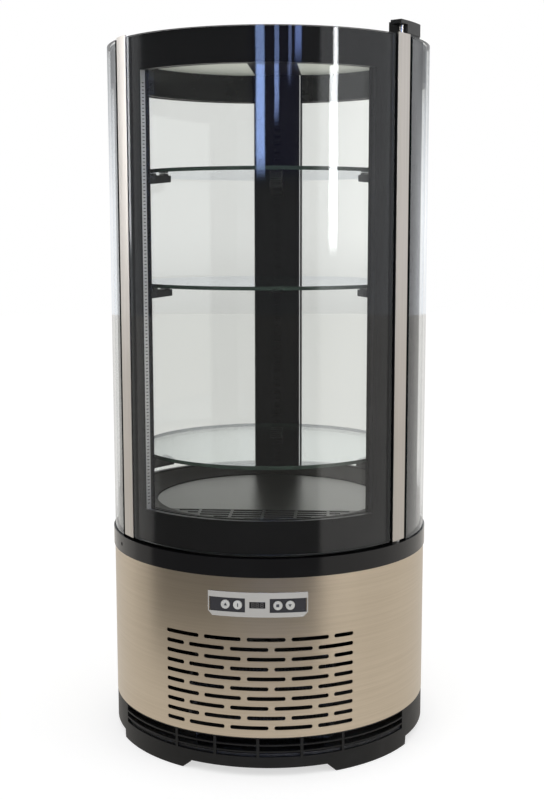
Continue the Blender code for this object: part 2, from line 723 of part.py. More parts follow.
def evaporator_fan():
    """Fan behind the cold coil."""
    start = COIL_DEPTH / 2 + COIL_FAN_SPACE
    centre = (0, start, COIL_FLOOR + COIL_FAN_RADIUS)
    fan_frame("evaporator_fan_frame", COIL_FAN_RADIUS, COIL_FAN_DEPTH, COIL_FAN_HUB, centre)
    fan_blades("evaporator_fan_blades", COIL_FAN_RADIUS, COIL_FAN_DEPTH, COIL_FAN_HUB, 5, centre)


# Cooling unit on the base tray
CONDENSER_LENGTH = 0.2
CONDENSER_DEPTH = 0.04
CONDENSER_CORE = 0.01
CONDENSER_HEIGHT = 0.14
CONDENSER_FINS = 18
CONDENSER_SPACE = 0.0749  # from the drum's sheet to the middle of the coil
CONDENSER_Y = CONDENSER_SPACE - WRAP_IN
UNIT_FLOOR = TRAY_TOP + GAP
UNIT_FAN_RADIUS = 0.066
UNIT_FAN_DEPTH = 0.028
UNIT_FAN_HUB = 0.018
UNIT_FAN_SPACE = 0.004
COMPRESSOR_RADIUS = 0.054
COMPRESSOR_HEIGHT = 0.132
COMPRESSOR_FOOT = 0.064
COMPRESSOR_SHEET = 0.004
COMPRESSOR_NECK = 0.048
COMPRESSOR_DOME = 0.02
COMPRESSOR_X = 0.035
COMPRESSOR_Y = 0.085
COMPRESSOR_AT = (COMPRESSOR_X, COMPRESSOR_Y)
TERMINAL = 0.018


def condenser():
    """Warm coil behind the front grille."""
    finned_block("condenser", CONDENSER_LENGTH, CONDENSER_DEPTH, CONDENSER_CORE, UNIT_FLOOR,
                 UNIT_FLOOR + CONDENSER_HEIGHT, CONDENSER_FINS, CONDENSER_Y, DARK_PAINT)


def condenser_fan():
    """Fan behind the warm coil."""
    start = CONDENSER_Y + CONDENSER_DEPTH / 2 + UNIT_FAN_SPACE
    centre = (0, start, UNIT_FLOOR + UNIT_FAN_RADIUS)
    fan_frame("condenser_fan_shroud", UNIT_FAN_RADIUS, UNIT_FAN_DEPTH, UNIT_FAN_HUB, centre)
    fan_blades("condenser_fan_blades", UNIT_FAN_RADIUS, UNIT_FAN_DEPTH, UNIT_FAN_HUB, 5, centre)


def compressor():
    """Sealed compressor with a terminal box."""
    foot = UNIT_FLOOR + COMPRESSOR_SHEET
    top = UNIT_FLOOR + COMPRESSOR_HEIGHT
    profile = [
        (0, UNIT_FLOOR),
        (COMPRESSOR_FOOT, UNIT_FLOOR),
        (COMPRESSOR_FOOT, foot),
        (COMPRESSOR_NECK, foot),
        (COMPRESSOR_RADIUS, foot + COMPRESSOR_DOME),
        (COMPRESSOR_RADIUS, top - COMPRESSOR_DOME),
        (COMPRESSOR_NECK, top - COMPRESSOR_DOME / 3),
        (COMPRESSOR_NECK / 2, top),
        (0, top),
    ]
    can = turned("compressor", profile, DARK_PAINT, COMPRESSOR_AT, 24)
    x, y = COMPRESSOR_AT
    middle = UNIT_FLOOR + COMPRESSOR_HEIGHT / 2
    span_x = (x - COMPRESSOR_RADIUS - TERMINAL, x - COMPRESSOR_NECK)
    block = (span_x, (y - TERMINAL, y + TERMINAL), (middle - TERMINAL, middle + TERMINAL))
    carve(can, box_piece("terminal", [block], None), "UNION")


def suction_pipe():
    """Copper pipe from the cold coil down to the compressor."""
    x, y = COMPRESSOR_AT
    side = COIL_LENGTH / 2 + PIPE_SIDE
    path = [
        Vector((COIL_LENGTH / 2 + GAP, 0, PIPE_LEVEL)),
        Vector((side, 0, PIPE_LEVEL)),
        Vector((side, 0, PIPE_LOW)),
        Vector((x, y, PIPE_LOW)),
        Vector((x, y, UNIT_FLOOR + COMPRESSOR_HEIGHT + GAP)),
    ]
    bm = bmesh.new()
    sides = 8
    loops = []
    frame_side = Vector((0, 1, 0))
    for index, point in enumerate(path):
        before = (point - path[index - 1]).normalized() if index else (path[1] - path[0]).normalized()
        after = (path[index + 1] - point).normalized() if index < len(path) - 1 else before
        along = (before + after).normalized()
        across = before.cross(after)
        frame_side = across.normalized() if across.length > WELD else frame_side
        first = frame_side
        second = along.cross(first).normalized() / max(along.dot(before), WELD)
        loop = []
        for step in range(sides):
            turn = 2 * math.pi * (step + 0.5) / sides
            loop.append(point + (first * math.cos(turn) + second * math.sin(turn)) * PIPE_RADIUS)
        loops.append(loop)
    rings = [loops[0]]
    for loop in loops[1:]:
        best = min(range(sides), key=lambda shift: twist(rings[-1], loop, shift, sides))
        rings.append([loop[(step + best) % sides] for step in range(sides)])
    skin_loops(bm, rings)
    make_piece("suction_pipe", bm, COPPER, 50.0)


def twist(one, two, shift, sides):
    """Total length between two loops when one of them is shifted."""
    return sum((one[step] - two[(step + shift) % sides]).length for step in range(sides))


# Floor of the cold space
RIM_WIDTH = 0.0398
RIM_DROP = 0.011        # the rim slopes down towards the plate
RIM_WALL = 0.004
RIM_SKIN = 0.0048
LEDGE_WIDTH = 0.0055
LEDGE_DROP = 0.003
DECK_SHEET = 0.0012
RIM_BOTTOM = FLANGE_TOP + GAP
DECK_RADIUS = SEAT_RADIUS - RIM_WIDTH
RIM_EDGE = DECK_RADIUS + GAP
RIM_EDGE_TOP = RIM_TOP - RIM_DROP
LEDGE_TOP = RIM_EDGE_TOP - LEDGE_DROP
DECK_BOTTOM = LEDGE_TOP + GAP
GRILLE_CHORD_SHARE = 0.582
DIVIDER_SHARE = 0.2727  # of the deck's radius, from one bar of the grille to the next
GRILLE_BAR = 0.004
DECK_SLOT_ROWS = 5
DECK_SLOT_SHARE = 0.54  # of each row that is open
GRILLE_CHORD = DECK_RADIUS * GRILLE_CHORD_SHARE
GRILLE_DIVIDER = DECK_RADIUS * DIVIDER_SHARE
GRILLE_SHEET = 0.0022
GRILLE_EDGE = 0.004


# Air duct at the back
COLUMN_STEP = 0.0135
COLUMN_HALF = 0.034
COLUMN_WALL = 0.004
COLUMN_STUB = 0.0005
COLUMN_SLOT_HALF = 0.0048
COLUMN_SLOT_HEIGHT = 0.0045
COLUMN_SLOT_PITCH = 0.0118
COLUMN_FRONT = SEAT_RADIUS - COLUMN_STEP
COVER_SHEET = 0.0042     # rear lid of the duct
COVER_IN = GLASS_RADIUS - COVER_SHEET
COLUMN_TOP = ROOF_BOTTOM - COLUMN_STUB - GAP
PANE_CLEAR = 0.0012
COLUMN_CLEAR = 168.9


def deck_rim():
    """Black ring around the deck, cut out for the air duct."""
    underside = RIM_TOP - RIM_SKIN
    profile = [
        (SEAT_RADIUS, RIM_BOTTOM),
        (SEAT_RADIUS, RIM_TOP),
        (RIM_EDGE, RIM_EDGE_TOP),
        (RIM_EDGE, LEDGE_TOP),
        (RIM_EDGE - LEDGE_WIDTH, LEDGE_TOP),
        (RIM_EDGE - LEDGE_WIDTH, LEDGE_TOP - LEDGE_DROP / 2),
        (RIM_EDGE + LEDGE_DROP / 2, LEDGE_TOP - LEDGE_DROP / 2),
        (SEAT_RADIUS - RIM_WALL, underside),
        (SEAT_RADIUS - RIM_WALL, RIM_BOTTOM),
    ]
    loops = [[polar(r, step * FACET, z) for r, z in profile] for step in range(int(FULL / FACET))]
    bm = bmesh.new()
    skin_loops(bm, loops, closed=True)
    rim = make_piece("deck_rim", bm, GLOSS_BLACK)
    half = COLUMN_HALF + GAP
    tool = ((-half, half), (COLUMN_FRONT - GAP, GLASS_RADIUS), (COLLAR_TOP, RIM_TOP + CUT_MARGIN))
    carve(rim, box_piece("column_tool", [tool], None))


def chord_angle(chord, radius):
    """Angle from the front where a chord meets the circle."""
    return math.degrees(math.acos(chord / radius))


def deck_plate():
    """Steel floor plate behind the return-air grille."""
    start = chord_angle(GRILLE_CHORD, DECK_RADIUS)
    outline = [polar(DECK_RADIUS, angle, 0).xy for angle in turns(start, FULL - start)]
    upright("deck_plate", [tuple(point) for point in outline], DECK_BOTTOM, DECK_BOTTOM + DECK_SHEET, STEEL)


def deck_grille():
    """Slotted plate over the return air."""
    chord = GRILLE_CHORD + GAP
    end = chord_angle(chord, DECK_RADIUS)
    outline = [tuple(polar(DECK_RADIUS, angle, 0).xy) for angle in turns(-end, end)]
    plate = upright("deck_grille", outline, DECK_BOTTOM, DECK_BOTTOM + GRILLE_SHEET, BLACK_PLASTIC)
    bm = bmesh.new()
    pitch = (DECK_RADIUS - chord - GRILLE_EDGE) / DECK_SLOT_ROWS
    for row in range(DECK_SLOT_ROWS):
        near = chord + GRILLE_EDGE + row * pitch
        far = near + pitch * DECK_SLOT_SHARE
        reach = math.sqrt(max((DECK_RADIUS - GRILLE_EDGE) ** 2 - far ** 2, 0))
        for column in range(-3, 3):
            left = max(column * GRILLE_DIVIDER + GRILLE_BAR / 2, -reach)
            right = min((column + 1) * GRILLE_DIVIDER - GRILLE_BAR / 2, reach)
            if right - left > GRILLE_BAR:
                loops = []
                for height in (DECK_BOTTOM - CUT_MARGIN, DECK_BOTTOM + GRILLE_SHEET + CUT_MARGIN):
                    loops.append([Vector((left, -near, height)), Vector((right, -near, height)),
                                  Vector((right, -far, height)), Vector((left, -far, height))])
                skin_loops(bm, loops)
    carve(plate, make_piece("slot_tool", bm, None))


def column_slots():
    """Heights of the middle of each slot in the duct's face."""
    count = int((SKIRT_BOTTOM - RIM_TOP) / COLUMN_SLOT_PITCH) - 1
    return [RIM_TOP + (number + 1) * COLUMN_SLOT_PITCH for number in range(count)]


def column_cover():
    """Curved rear lid of the air duct."""
    reach = math.degrees(math.asin(COLUMN_HALF / GLASS_RADIUS))
    span = (FULL / 2 - reach, FULL / 2 + reach)
    drum_piece("column_cover", [(span, (COVER_IN, GLASS_RADIUS), (RIM_BOTTOM, COLUMN_TOP))], DARK_PAINT)


def back_column():
    """Channel of the air duct with a row of slots for the shelf hooks."""
    rear = math.sqrt(COVER_IN ** 2 - COLUMN_HALF ** 2) - GAP
    channel = [(-COLUMN_HALF, COLUMN_FRONT), (COLUMN_HALF, COLUMN_FRONT),
               (COLUMN_HALF, rear), (-COLUMN_HALF, rear)]
    duct = upright("back_column", channel, RIM_BOTTOM, COLUMN_TOP, DARK_PAINT)
    throat = COLUMN_HALF - COLUMN_WALL
    near = COLUMN_FRONT + COLUMN_WALL
    bore = [(-throat, near), (throat, near), (throat, rear + CUT_MARGIN), (-throat, rear + CUT_MARGIN)]
    carve(duct, upright("bore", bore, RIM_BOTTOM - CUT_MARGIN, COLUMN_TOP + CUT_MARGIN, None))
    spans = [(-throat, throat, RIM_BOTTOM - CUT_MARGIN, RIM_TOP - RIM_DROP)]
    for middle in column_slots():
        half = COLUMN_SLOT_HEIGHT / 2
        spans.append((-COLUMN_SLOT_HALF, COLUMN_SLOT_HALF, middle - half, middle + half))
    bm = bmesh.new()
    for left, right, low, high in spans:
        loops = []
        for depth in (COLUMN_FRONT - CUT_MARGIN, COLUMN_FRONT + COLUMN_WALL + COLUMN_WALL / 2):
            loops.append([Vector((left, depth, low)), Vector((right, depth, low)),
                          Vector((right, depth, high)), Vector((left, depth, high))])
        skin_loops(bm, loops)
    carve(duct, make_piece("slot_tool", bm, None))


# Pillars beside the door and the fixed glass behind them
PILLAR_DEPTH = 0.0075
PILLAR_START = 50.0
PILLAR_END = 68.0
CLIP_ANGLE = 58.05
GROOVE_HALF = 0.003
GROOVE_DEPTH = 0.0045
DOOR_GAP_END = 60.9     # front edge of the fixed glass
WEB_START = 61.2
WEB_END = 64.2
SIDE_CLEAR = 67.6       # end of the black border on the side glass
SPACER_BACK = 0.5       # degrees of the closing bar beside the duct
PILLAR_IN = SEAT_RADIUS - PILLAR_DEPTH


def pane_end(radius):
    """Angle of the rear edge of the fixed glass beside the duct."""
    return 180 - math.degrees(math.asin((COLUMN_HALF + PANE_CLEAR) / radius))


def pillar(side):
    """Upright beside the door: seat of the gasket, with a groove for the clips."""
    low = RIM_TOP + GAP
    high = SKIRT_BOTTOM - GAP
    plate = (mirrored(side, PILLAR_START, PILLAR_END), (PILLAR_IN, SEAT_RADIUS), (low, high))
    web = (mirrored(side, WEB_START, WEB_END), (SEAT_RADIUS, INNER_OUT), (low, high))
    outer_web = (mirrored(side, WEB_START, WEB_END), (SEAT_RADIUS + GAP, INNER_OUT), (GLASS_BOTTOM, ROOF_BOTTOM - GAP))
    half = span_angle(GROOVE_HALF, PILLAR_IN)
    groove = (mirrored(side, CLIP_ANGLE - half, CLIP_ANGLE + half), (PILLAR_IN, PILLAR_IN + GROOVE_DEPTH), (low, high))
    drum_piece(f"{side}_pillar", [plate, web, outer_web], BLACK_PLASTIC, [groove])


def fixed_glass(side):
    """Insulating glass beside and behind the door: two sheets and a spacer frame."""
    inner_start = WEB_END + span_angle(GAP, INNER_IN)
    outer = (mirrored(side, DOOR_GAP_END, pane_end(OUTER_IN)), (OUTER_IN, GLASS_RADIUS), (GLASS_BOTTOM, GLASS_TOP))
    drum_piece(f"{side}_outer_pane", [outer], CLEAR_GLASS)
    high = ROOF_BOTTOM - GAP
    inner = (mirrored(side, inner_start, pane_end(INNER_IN)), (INNER_IN, INNER_OUT), (GLASS_BOTTOM, high))
    drum_piece(f"{side}_inner_pane", [inner], CLEAR_GLASS)
    end = pane_end(SPACER_IN)
    frame = (mirrored(side, WEB_START, end), (SPACER_IN, SPACER_OUT), (GLASS_BOTTOM, high))
    window = (mirrored(side, SIDE_CLEAR, end - SPACER_BACK), (SPACER_IN, SPACER_OUT), (RIM_TOP, SKIRT_BOTTOM))
    drum_piece(f"{side}_pane_spacer", [frame], GLOSS_BLACK, [window])


# Roof
CEILING_SHEET = 0.0024
CEILING_DROP = 0.0045
MOUTH_HALF = 49.5        # the skirt is shorter over the door's clear glass
MOUTH_RISE = 0.0125
LAMP_LENGTH = 0.24
LAMP_DEPTH = 0.024
LAMP_HEIGHT = 0.011
LAMP_Y = -0.105


def roof_cap():
    """Flat roof with a skirt inside the glass."""
    plate = ((0, FULL), (0, SEAT_RADIUS), (ROOF_BOTTOM, ROOF_TOP))
    brim = ((WEB_START, FULL - WEB_START), (SEAT_RADIUS, SPACER_OUT), (ROOF_BOTTOM, ROOF_TOP))
    skirt = ((0, FULL), (SEAT_RADIUS - RIM_WALL, SEAT_RADIUS), (SKIRT_BOTTOM, ROOF_BOTTOM))
    opening = ((COLUMN_CLEAR, FULL - COLUMN_CLEAR), (0, SEAT_RADIUS), (SKIRT_BOTTOM, ROOF_BOTTOM))
    cuts = [opening]
    for span in ((0, MOUTH_HALF), (FULL - MOUTH_HALF, FULL)):
        cuts.append((span, (0, SEAT_RADIUS), (SKIRT_BOTTOM, SKIRT_BOTTOM + MOUTH_RISE)))
    drum_piece("roof_cap", [plate, brim, skirt], GLOSS_BLACK, cuts)


def ceiling_outline(radius, chord):
    """Circle cut straight in front of the duct."""
    edge = math.degrees(math.acos(chord / radius))
    return [tuple(polar(radius, angle, 0).xy) for angle in turns(-180 + edge, 180 - edge)]


def ceiling_panel():
    """Pale liner under the roof."""
    high = ROOF_BOTTOM - GAP
    outline = ceiling_outline(SEAT_RADIUS - RIM_WALL - GAP, COLUMN_FRONT - GAP)
    upright("ceiling_panel", outline, high - CEILING_SHEET, high, WHITE_PAINT)


def lamp_bar():
    """Lamp under the front of the ceiling."""
    high = ROOF_BOTTOM - CEILING_SHEET - GAP - GAP
    half = LAMP_LENGTH / 2
    depth = LAMP_DEPTH / 2
    slope = LAMP_HEIGHT / 2
    profile = [(LAMP_Y - depth, high), (LAMP_Y + depth, high), (LAMP_Y + depth, high - slope),
               (LAMP_Y + depth - slope, high - LAMP_HEIGHT), (LAMP_Y - depth + slope, high - LAMP_HEIGHT),
               (LAMP_Y - depth, high - slope)]
    bm = bmesh.new()
    skin_loops(bm, [[Vector((x, y, z)) for y, z in profile] for x in (-half, half)])
    make_piece("lamp_bar", bm, WHITE_PLASTIC)


# Shelves on clips
SHELF_MARGIN = 0.017
SHELF_SHEET = 0.005
LOWER_SPACE = 0.067
MIDDLE_SPACE = 0.236
UPPER_SPACE = 0.154
SHELF_RADIUS = SEAT_RADIUS - SHELF_MARGIN
SHELF_TOPS = {
    "lower": RIM_TOP + LOWER_SPACE,
    "middle": RIM_TOP + LOWER_SPACE + MIDDLE_SPACE,
    "upper": RIM_TOP + LOWER_SPACE + MIDDLE_SPACE + UPPER_SPACE,
}
CLIP_LENGTH = 0.0405
CLIP_HALF = 0.009
CLIP_ROOT = 0.013
BACK_CLIP_ROOT = 0.0175
CLIP_TIP = 0.009
CLIP_PAD = 0.0027
CLIP_SLOPE = 0.0004
CLIP_PADS = (0.0125, 0.0185, 0.0305, 0.0365)
TONGUE_HALF = 0.0025
TONGUE_LENGTH = 0.004


def shelf(level):
    """Round glass shelf that lifts off its clips."""
    top = SHELF_TOPS[level]
    block = ((0, FULL), (0, SHELF_RADIUS), (top - SHELF_SHEET, top))
    plate = drum_piece(f"shelf_{level}", [block], SHELF_GLASS)
    set_origin(plate, (0, 0, top))


def clip(name, level, foot, inward, root, tongue_half, tongue_low, tongue_high):
    """Bracket with two pads; its tongue sits in the groove or in a slot."""
    arm_top = SHELF_TOPS[level] - SHELF_SHEET - GAP - CLIP_PAD
    pad_top = arm_top + CLIP_PAD
    marks = [(GAP, arm_top)]
    for start, end in (CLIP_PADS[:2], CLIP_PADS[2:]):
        marks += [(start - CLIP_SLOPE, arm_top), (start, pad_top), (end, pad_top), (end + CLIP_SLOPE, arm_top)]
    marks.append((CLIP_LENGTH, arm_top))
    across = Vector((-inward.y, inward.x, 0))
    sections = [(-TONGUE_LENGTH, tongue_half, tongue_low, tongue_high), (GAP, tongue_half, tongue_low, tongue_high)]
    for distance, top in marks:
        share = distance / CLIP_LENGTH
        low = arm_top - root + share * (root - CLIP_TIP)
        sections.append((distance, CLIP_HALF, low, top))
    loops = []
    for distance, half, low, high in sections:
        middle = foot + inward * distance
        loops.append([middle - across * half + Vector((0, 0, low)), middle + across * half + Vector((0, 0, low)),
                      middle + across * half + Vector((0, 0, high)), middle - across * half + Vector((0, 0, high))])
    bm = bmesh.new()
    skin_loops(bm, loops)
    make_piece(name, bm, BLACK_PLASTIC)


def clips(level):
    """Two side clips and one back clip for a shelf."""
    arm_top = SHELF_TOPS[level] - SHELF_SHEET - GAP - CLIP_PAD
    for side, angle in (("left", -CLIP_ANGLE), ("right", CLIP_ANGLE)):
        foot = polar(PILLAR_IN, angle, 0)
        inward = -outward(facet_middle(angle))
        clip(f"{side}_clip_{level}", level, foot, inward, CLIP_ROOT, TONGUE_HALF,
             arm_top - CLIP_ROOT + CLIP_PAD, arm_top - CLIP_PAD)
    half = COLUMN_SLOT_HEIGHT / 2 - GAP
    wanted = arm_top - BACK_CLIP_ROOT / 2
    slot = min(column_slots(), key=lambda height: abs(height - wanted))
    foot = Vector((0, COLUMN_FRONT, 0))
    clip(f"back_clip_{level}", level, foot, Vector((0, -1, 0)), BACK_CLIP_ROOT, COLUMN_SLOT_HALF - GAP,
         slot - half, slot + half)


# Door
DOOR_GLASS_LEFT = -51.5
DOOR_GLASS_RIGHT = 50.6
DOOR_FRAME_HALF = 59.0
STRIP_START = 52.0
STRIP_END = 59.2
STRIP_SHEET = 0.0015
STRIP_STEP = 0.0005
STRIP_DIP = 0.0005
STRIP_RISE = 0.002
GASKET_SHEET = 0.0031
GASKET_OUTER = 56.4
GASKET_INNER = 50.6
GASKET_WIDTH = 0.015
GASKET_LOW = 0.018
GASKET_HIGH = 0.023
POCKET_HALF = 48.0
POCKET_INSET = 0.015
CLEAR_LEFT = -44.8      # the border beside the hinge is the wider one
CLEAR_RIGHT = 42.6
SPACER_BAR = 0.0035
FRAME_STEP = 0.002
CLEAR_TOP_BORDER = 0.0475
DOOR_EDGE = 0.0005
PIN_DEPTH = 0.0125
DOOR_BOTTOM = COLLAR_TOP + DOOR_LIFT
FRAME_IN = SEAT_RADIUS + GAP + GASKET_SHEET + GAP
FRAME_BOTTOM = DOOR_BOTTOM + FRAME_STEP
FRAME_TOP = GLASS_TOP - DOOR_EDGE
CLEAR_LOW = RIM_TOP + DOOR_EDGE
CLEAR_HIGH = GLASS_TOP - CLEAR_TOP_BORDER
STRIP_OUT = GLASS_RADIUS + STRIP_STEP
STRIP_IN = STRIP_OUT - STRIP_SHEET


def door_panes():
    """Outer sheet over the whole door and a smaller inner sheet."""
    outer = ((DOOR_GLASS_LEFT, DOOR_GLASS_RIGHT), (OUTER_IN, GLASS_RADIUS), (DOOR_BOTTOM, GLASS_TOP))
    set_origin(drum_piece("door_outer_pane", [outer], CLEAR_GLASS), HINGE_AT)
    low = FRAME_BOTTOM + POCKET_INSET
    high = FRAME_TOP - POCKET_INSET
    inner = ((-POCKET_HALF, POCKET_HALF), (INNER_IN, INNER_OUT), (low, high))
    set_origin(drum_piece("door_inner_pane", [inner], CLEAR_GLASS), HINGE_AT)


def door_spacer():
    """Spacer frame between the two sheets."""
    bar = span_angle(SPACER_BAR, SPACER_IN)
    outer = ((CLEAR_LEFT - bar, CLEAR_RIGHT + bar), (SPACER_IN, SPACER_OUT),
             (CLEAR_LOW - SPACER_BAR, CLEAR_HIGH + SPACER_BAR))
    inner = ((CLEAR_LEFT, CLEAR_RIGHT), (SPACER_IN, SPACER_OUT), (CLEAR_LOW, CLEAR_HIGH))
    set_origin(drum_piece("door_spacer", [outer], ALUMINIUM, [inner]), HINGE_AT)


def door_frame():
    """Black edge frame that holds both sheets and the steel strips."""
    out = SPACER_OUT
    frame = ((-DOOR_FRAME_HALF, DOOR_FRAME_HALF), (FRAME_IN, out), (FRAME_BOTTOM, FRAME_TOP))
    adds = [frame]
    for side in ("left", "right"):
        adds.append((mirrored(side, STRIP_START, DOOR_FRAME_HALF), (out, STRIP_IN - GAP), (FRAME_BOTTOM, FRAME_TOP)))
    margin = span_angle(GAP, SPACER_IN)
    bar = span_angle(SPACER_BAR, SPACER_IN)
    window = ((CLEAR_LEFT - margin, CLEAR_RIGHT + margin), (FRAME_IN, out), (CLEAR_LOW, CLEAR_HIGH + GAP))
    pocket = ((-POCKET_HALF - margin, POCKET_HALF + margin), (INNER_IN - GAP, INNER_OUT + GAP),
              (FRAME_BOTTOM + POCKET_INSET - GAP, FRAME_TOP - POCKET_INSET + GAP))
    seat = ((CLEAR_LEFT - bar - margin, CLEAR_RIGHT + bar + margin), (SPACER_IN, out),
            (CLEAR_LOW - SPACER_BAR - GAP, CLEAR_HIGH + SPACER_BAR + GAP))
    body = drum_piece("door_frame", adds, GLOSS_BLACK, [window, pocket, seat])
    for low, high in ((FRAME_BOTTOM - CUT_MARGIN, FRAME_BOTTOM + PIN_DEPTH), (FRAME_TOP - PIN_DEPTH, FRAME_TOP + CUT_MARGIN)):
        carve(body, rod("pin_hole", PIN_RADIUS + RUN, low, high, None, HINGE_AT))
    set_origin(body, HINGE_AT)


def door_strips():
    """Steel strips along both edges of the door."""
    for side in ("left", "right"):
        block = (mirrored(side, STRIP_START, STRIP_END), (STRIP_IN, STRIP_OUT),
                 (DOOR_BOTTOM - STRIP_DIP, GLASS_TOP + STRIP_RISE))
        set_origin(drum_piece(f"door_strip_{side}", [block], STEEL), HINGE_AT)


def door_gasket():
    """Seal that meets the pillars, the deck rim and the roof's skirt."""
    low = GLASS_BOTTOM + GASKET_LOW
    high = GLASS_TOP - GASKET_HIGH
    radii = (SEAT_RADIUS + GAP, SEAT_RADIUS + GAP + GASKET_SHEET)
    outer = ((-GASKET_OUTER, GASKET_OUTER), radii, (low, high))
    inner = ((-GASKET_INNER, GASKET_INNER), radii, (low + GASKET_WIDTH, high - GASKET_WIDTH))
    set_origin(drum_piece("door_gasket", [outer], RUBBER, [inner]), HINGE_AT)


# Hinge of the door
BLOCK_START = 59.0
BLOCK_END = 70.0
BLOCK_DEPTH = 0.028
BLOCK_INSET = 0.0035
BLOCK_TOP_RISE = 0.02
BLOCK_CLEAR = 0.0035
LUG_START = 54.8        # the lug reaches past the block and holds the pin
LUG_REACH = 0.011       # from the pin's axis inwards
CAP_SHEET = 0.005
PIN_TOP_SEAT = 0.0025
BLOCK_OUT = GLASS_RADIUS - BLOCK_INSET
BLOCK_IN = BLOCK_OUT - BLOCK_DEPTH
LUG_IN = HINGE_RADIUS - LUG_REACH


def hinge_block():
    """Bracket on the roof, with a lug over the door's edge for the pin."""
    low = ROOF_TOP + GAP
    high = GLASS_TOP + BLOCK_TOP_RISE
    arm_low = GLASS_TOP + BLOCK_CLEAR
    base = ((BLOCK_START, BLOCK_END), (BLOCK_IN, SEAT_RADIUS), (low, high))
    arm = ((BLOCK_START, BLOCK_END), (SEAT_RADIUS, BLOCK_OUT), (arm_low, high))
    heel = ((WEB_START, BLOCK_END), (SEAT_RADIUS, SPACER_OUT), (low, arm_low))
    lug = ((LUG_START, BLOCK_START), (LUG_IN, BLOCK_OUT), (high - CAP_SHEET, high))
    block = drum_piece("hinge_block", [base, arm, heel, lug], BLACK_PLASTIC)
    seat = high - CAP_SHEET
    carve(block, rod("pin_seat", PIN_RADIUS + RUN, seat - CAP_SHEET, seat + PIN_TOP_SEAT, None, HINGE_AT))


def hinge_pins():
    """Upper pin, lower pin and the white bush that carries the door."""
    top = GLASS_TOP + BLOCK_TOP_RISE - CAP_SHEET + PIN_TOP_SEAT - GAP
    rod("hinge_pin", PIN_RADIUS, FRAME_TOP - PIN_DEPTH + GAP, top, BRIGHT_STEEL, HINGE_AT)
    low = COLLAR_TOP - BUSH_SEAT + GAP
    high = FRAME_BOTTOM - GAP
    radii = (PIN_RADIUS + RUN, BUSH_RADIUS)
    bush = drum_piece("hinge_bush", [((0, FULL), radii, (low, high))], WHITE_PLASTIC, facet=22.5)
    bush.location = HINGE_AT
    rod("hinge_foot_pin", PIN_RADIUS, COLLAR_TOP - COLLAR_PLATE, FRAME_BOTTOM + PIN_DEPTH - GAP, BRIGHT_STEEL, HINGE_AT)


plinth()
base_tray()
body_wrap()
cable_gland()
panel_bezel()
button_plate()
display_window()
buttons()
collar()
insulated_tub()
evaporator()
evaporator_fan()
condenser()
condenser_fan()
compressor()
suction_pipe()
deck_rim()
deck_plate()
deck_grille()
back_column()
column_cover()
for side_name in ("left", "right"):
    pillar(side_name)
    fixed_glass(side_name)
roof_cap()
ceiling_panel()
lamp_bar()
for level_name in ("upper", "middle", "lower"):
    shelf(level_name)
    clips(level_name)
door_panes()
door_spacer()
door_frame()
door_strips()
door_gasket()
hinge_block()
hinge_pins()
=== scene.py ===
import json
import math

import bmesh
import bpy
from mathutils import Matrix, Vector

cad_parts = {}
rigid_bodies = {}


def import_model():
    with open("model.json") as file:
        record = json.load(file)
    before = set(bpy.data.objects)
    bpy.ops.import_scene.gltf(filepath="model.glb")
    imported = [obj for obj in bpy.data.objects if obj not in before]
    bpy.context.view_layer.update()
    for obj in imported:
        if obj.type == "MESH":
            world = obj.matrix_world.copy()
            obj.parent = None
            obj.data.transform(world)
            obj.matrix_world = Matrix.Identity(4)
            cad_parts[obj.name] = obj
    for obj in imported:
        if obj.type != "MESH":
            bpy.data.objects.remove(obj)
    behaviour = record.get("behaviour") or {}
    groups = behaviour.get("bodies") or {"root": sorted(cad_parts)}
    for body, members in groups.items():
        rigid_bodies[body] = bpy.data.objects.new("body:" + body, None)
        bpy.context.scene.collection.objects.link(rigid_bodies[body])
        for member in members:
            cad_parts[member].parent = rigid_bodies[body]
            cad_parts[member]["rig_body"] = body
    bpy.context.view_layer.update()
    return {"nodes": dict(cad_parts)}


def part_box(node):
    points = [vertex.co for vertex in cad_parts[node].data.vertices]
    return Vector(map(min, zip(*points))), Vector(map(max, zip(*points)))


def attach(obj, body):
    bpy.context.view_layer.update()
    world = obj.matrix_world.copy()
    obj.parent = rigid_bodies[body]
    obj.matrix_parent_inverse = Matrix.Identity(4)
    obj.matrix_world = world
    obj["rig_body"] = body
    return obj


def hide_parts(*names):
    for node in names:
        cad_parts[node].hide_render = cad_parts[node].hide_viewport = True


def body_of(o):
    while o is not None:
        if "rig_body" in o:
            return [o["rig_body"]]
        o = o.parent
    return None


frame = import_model()
cadNodes = frame["nodes"]
print("frame: %d nodes loaded" % len(cadNodes))


# Node tools

def mathsOperator(operation, swapped=False):
    def run(wire, other):
        return wire.maker.maths(operation, *((other, wire) if swapped else (wire, other)))
    return run


class Wire:
    # one output of a node; sums and products of wires add the Math nodes
    def __init__(self, maker, socket):
        self.maker = maker
        self.socket = socket

    def __abs__(self):
        return self.maker.maths("ABSOLUTE", self)

    __add__ = mathsOperator("ADD")
    __radd__ = mathsOperator("ADD", True)
    __sub__ = mathsOperator("SUBTRACT")
    __rsub__ = mathsOperator("SUBTRACT", True)
    __mul__ = mathsOperator("MULTIPLY")
    __rmul__ = mathsOperator("MULTIPLY", True)
    __truediv__ = mathsOperator("DIVIDE")
    __rtruediv__ = mathsOperator("DIVIDE", True)
    __pow__ = mathsOperator("POWER")
    __mod__ = mathsOperator("MODULO")


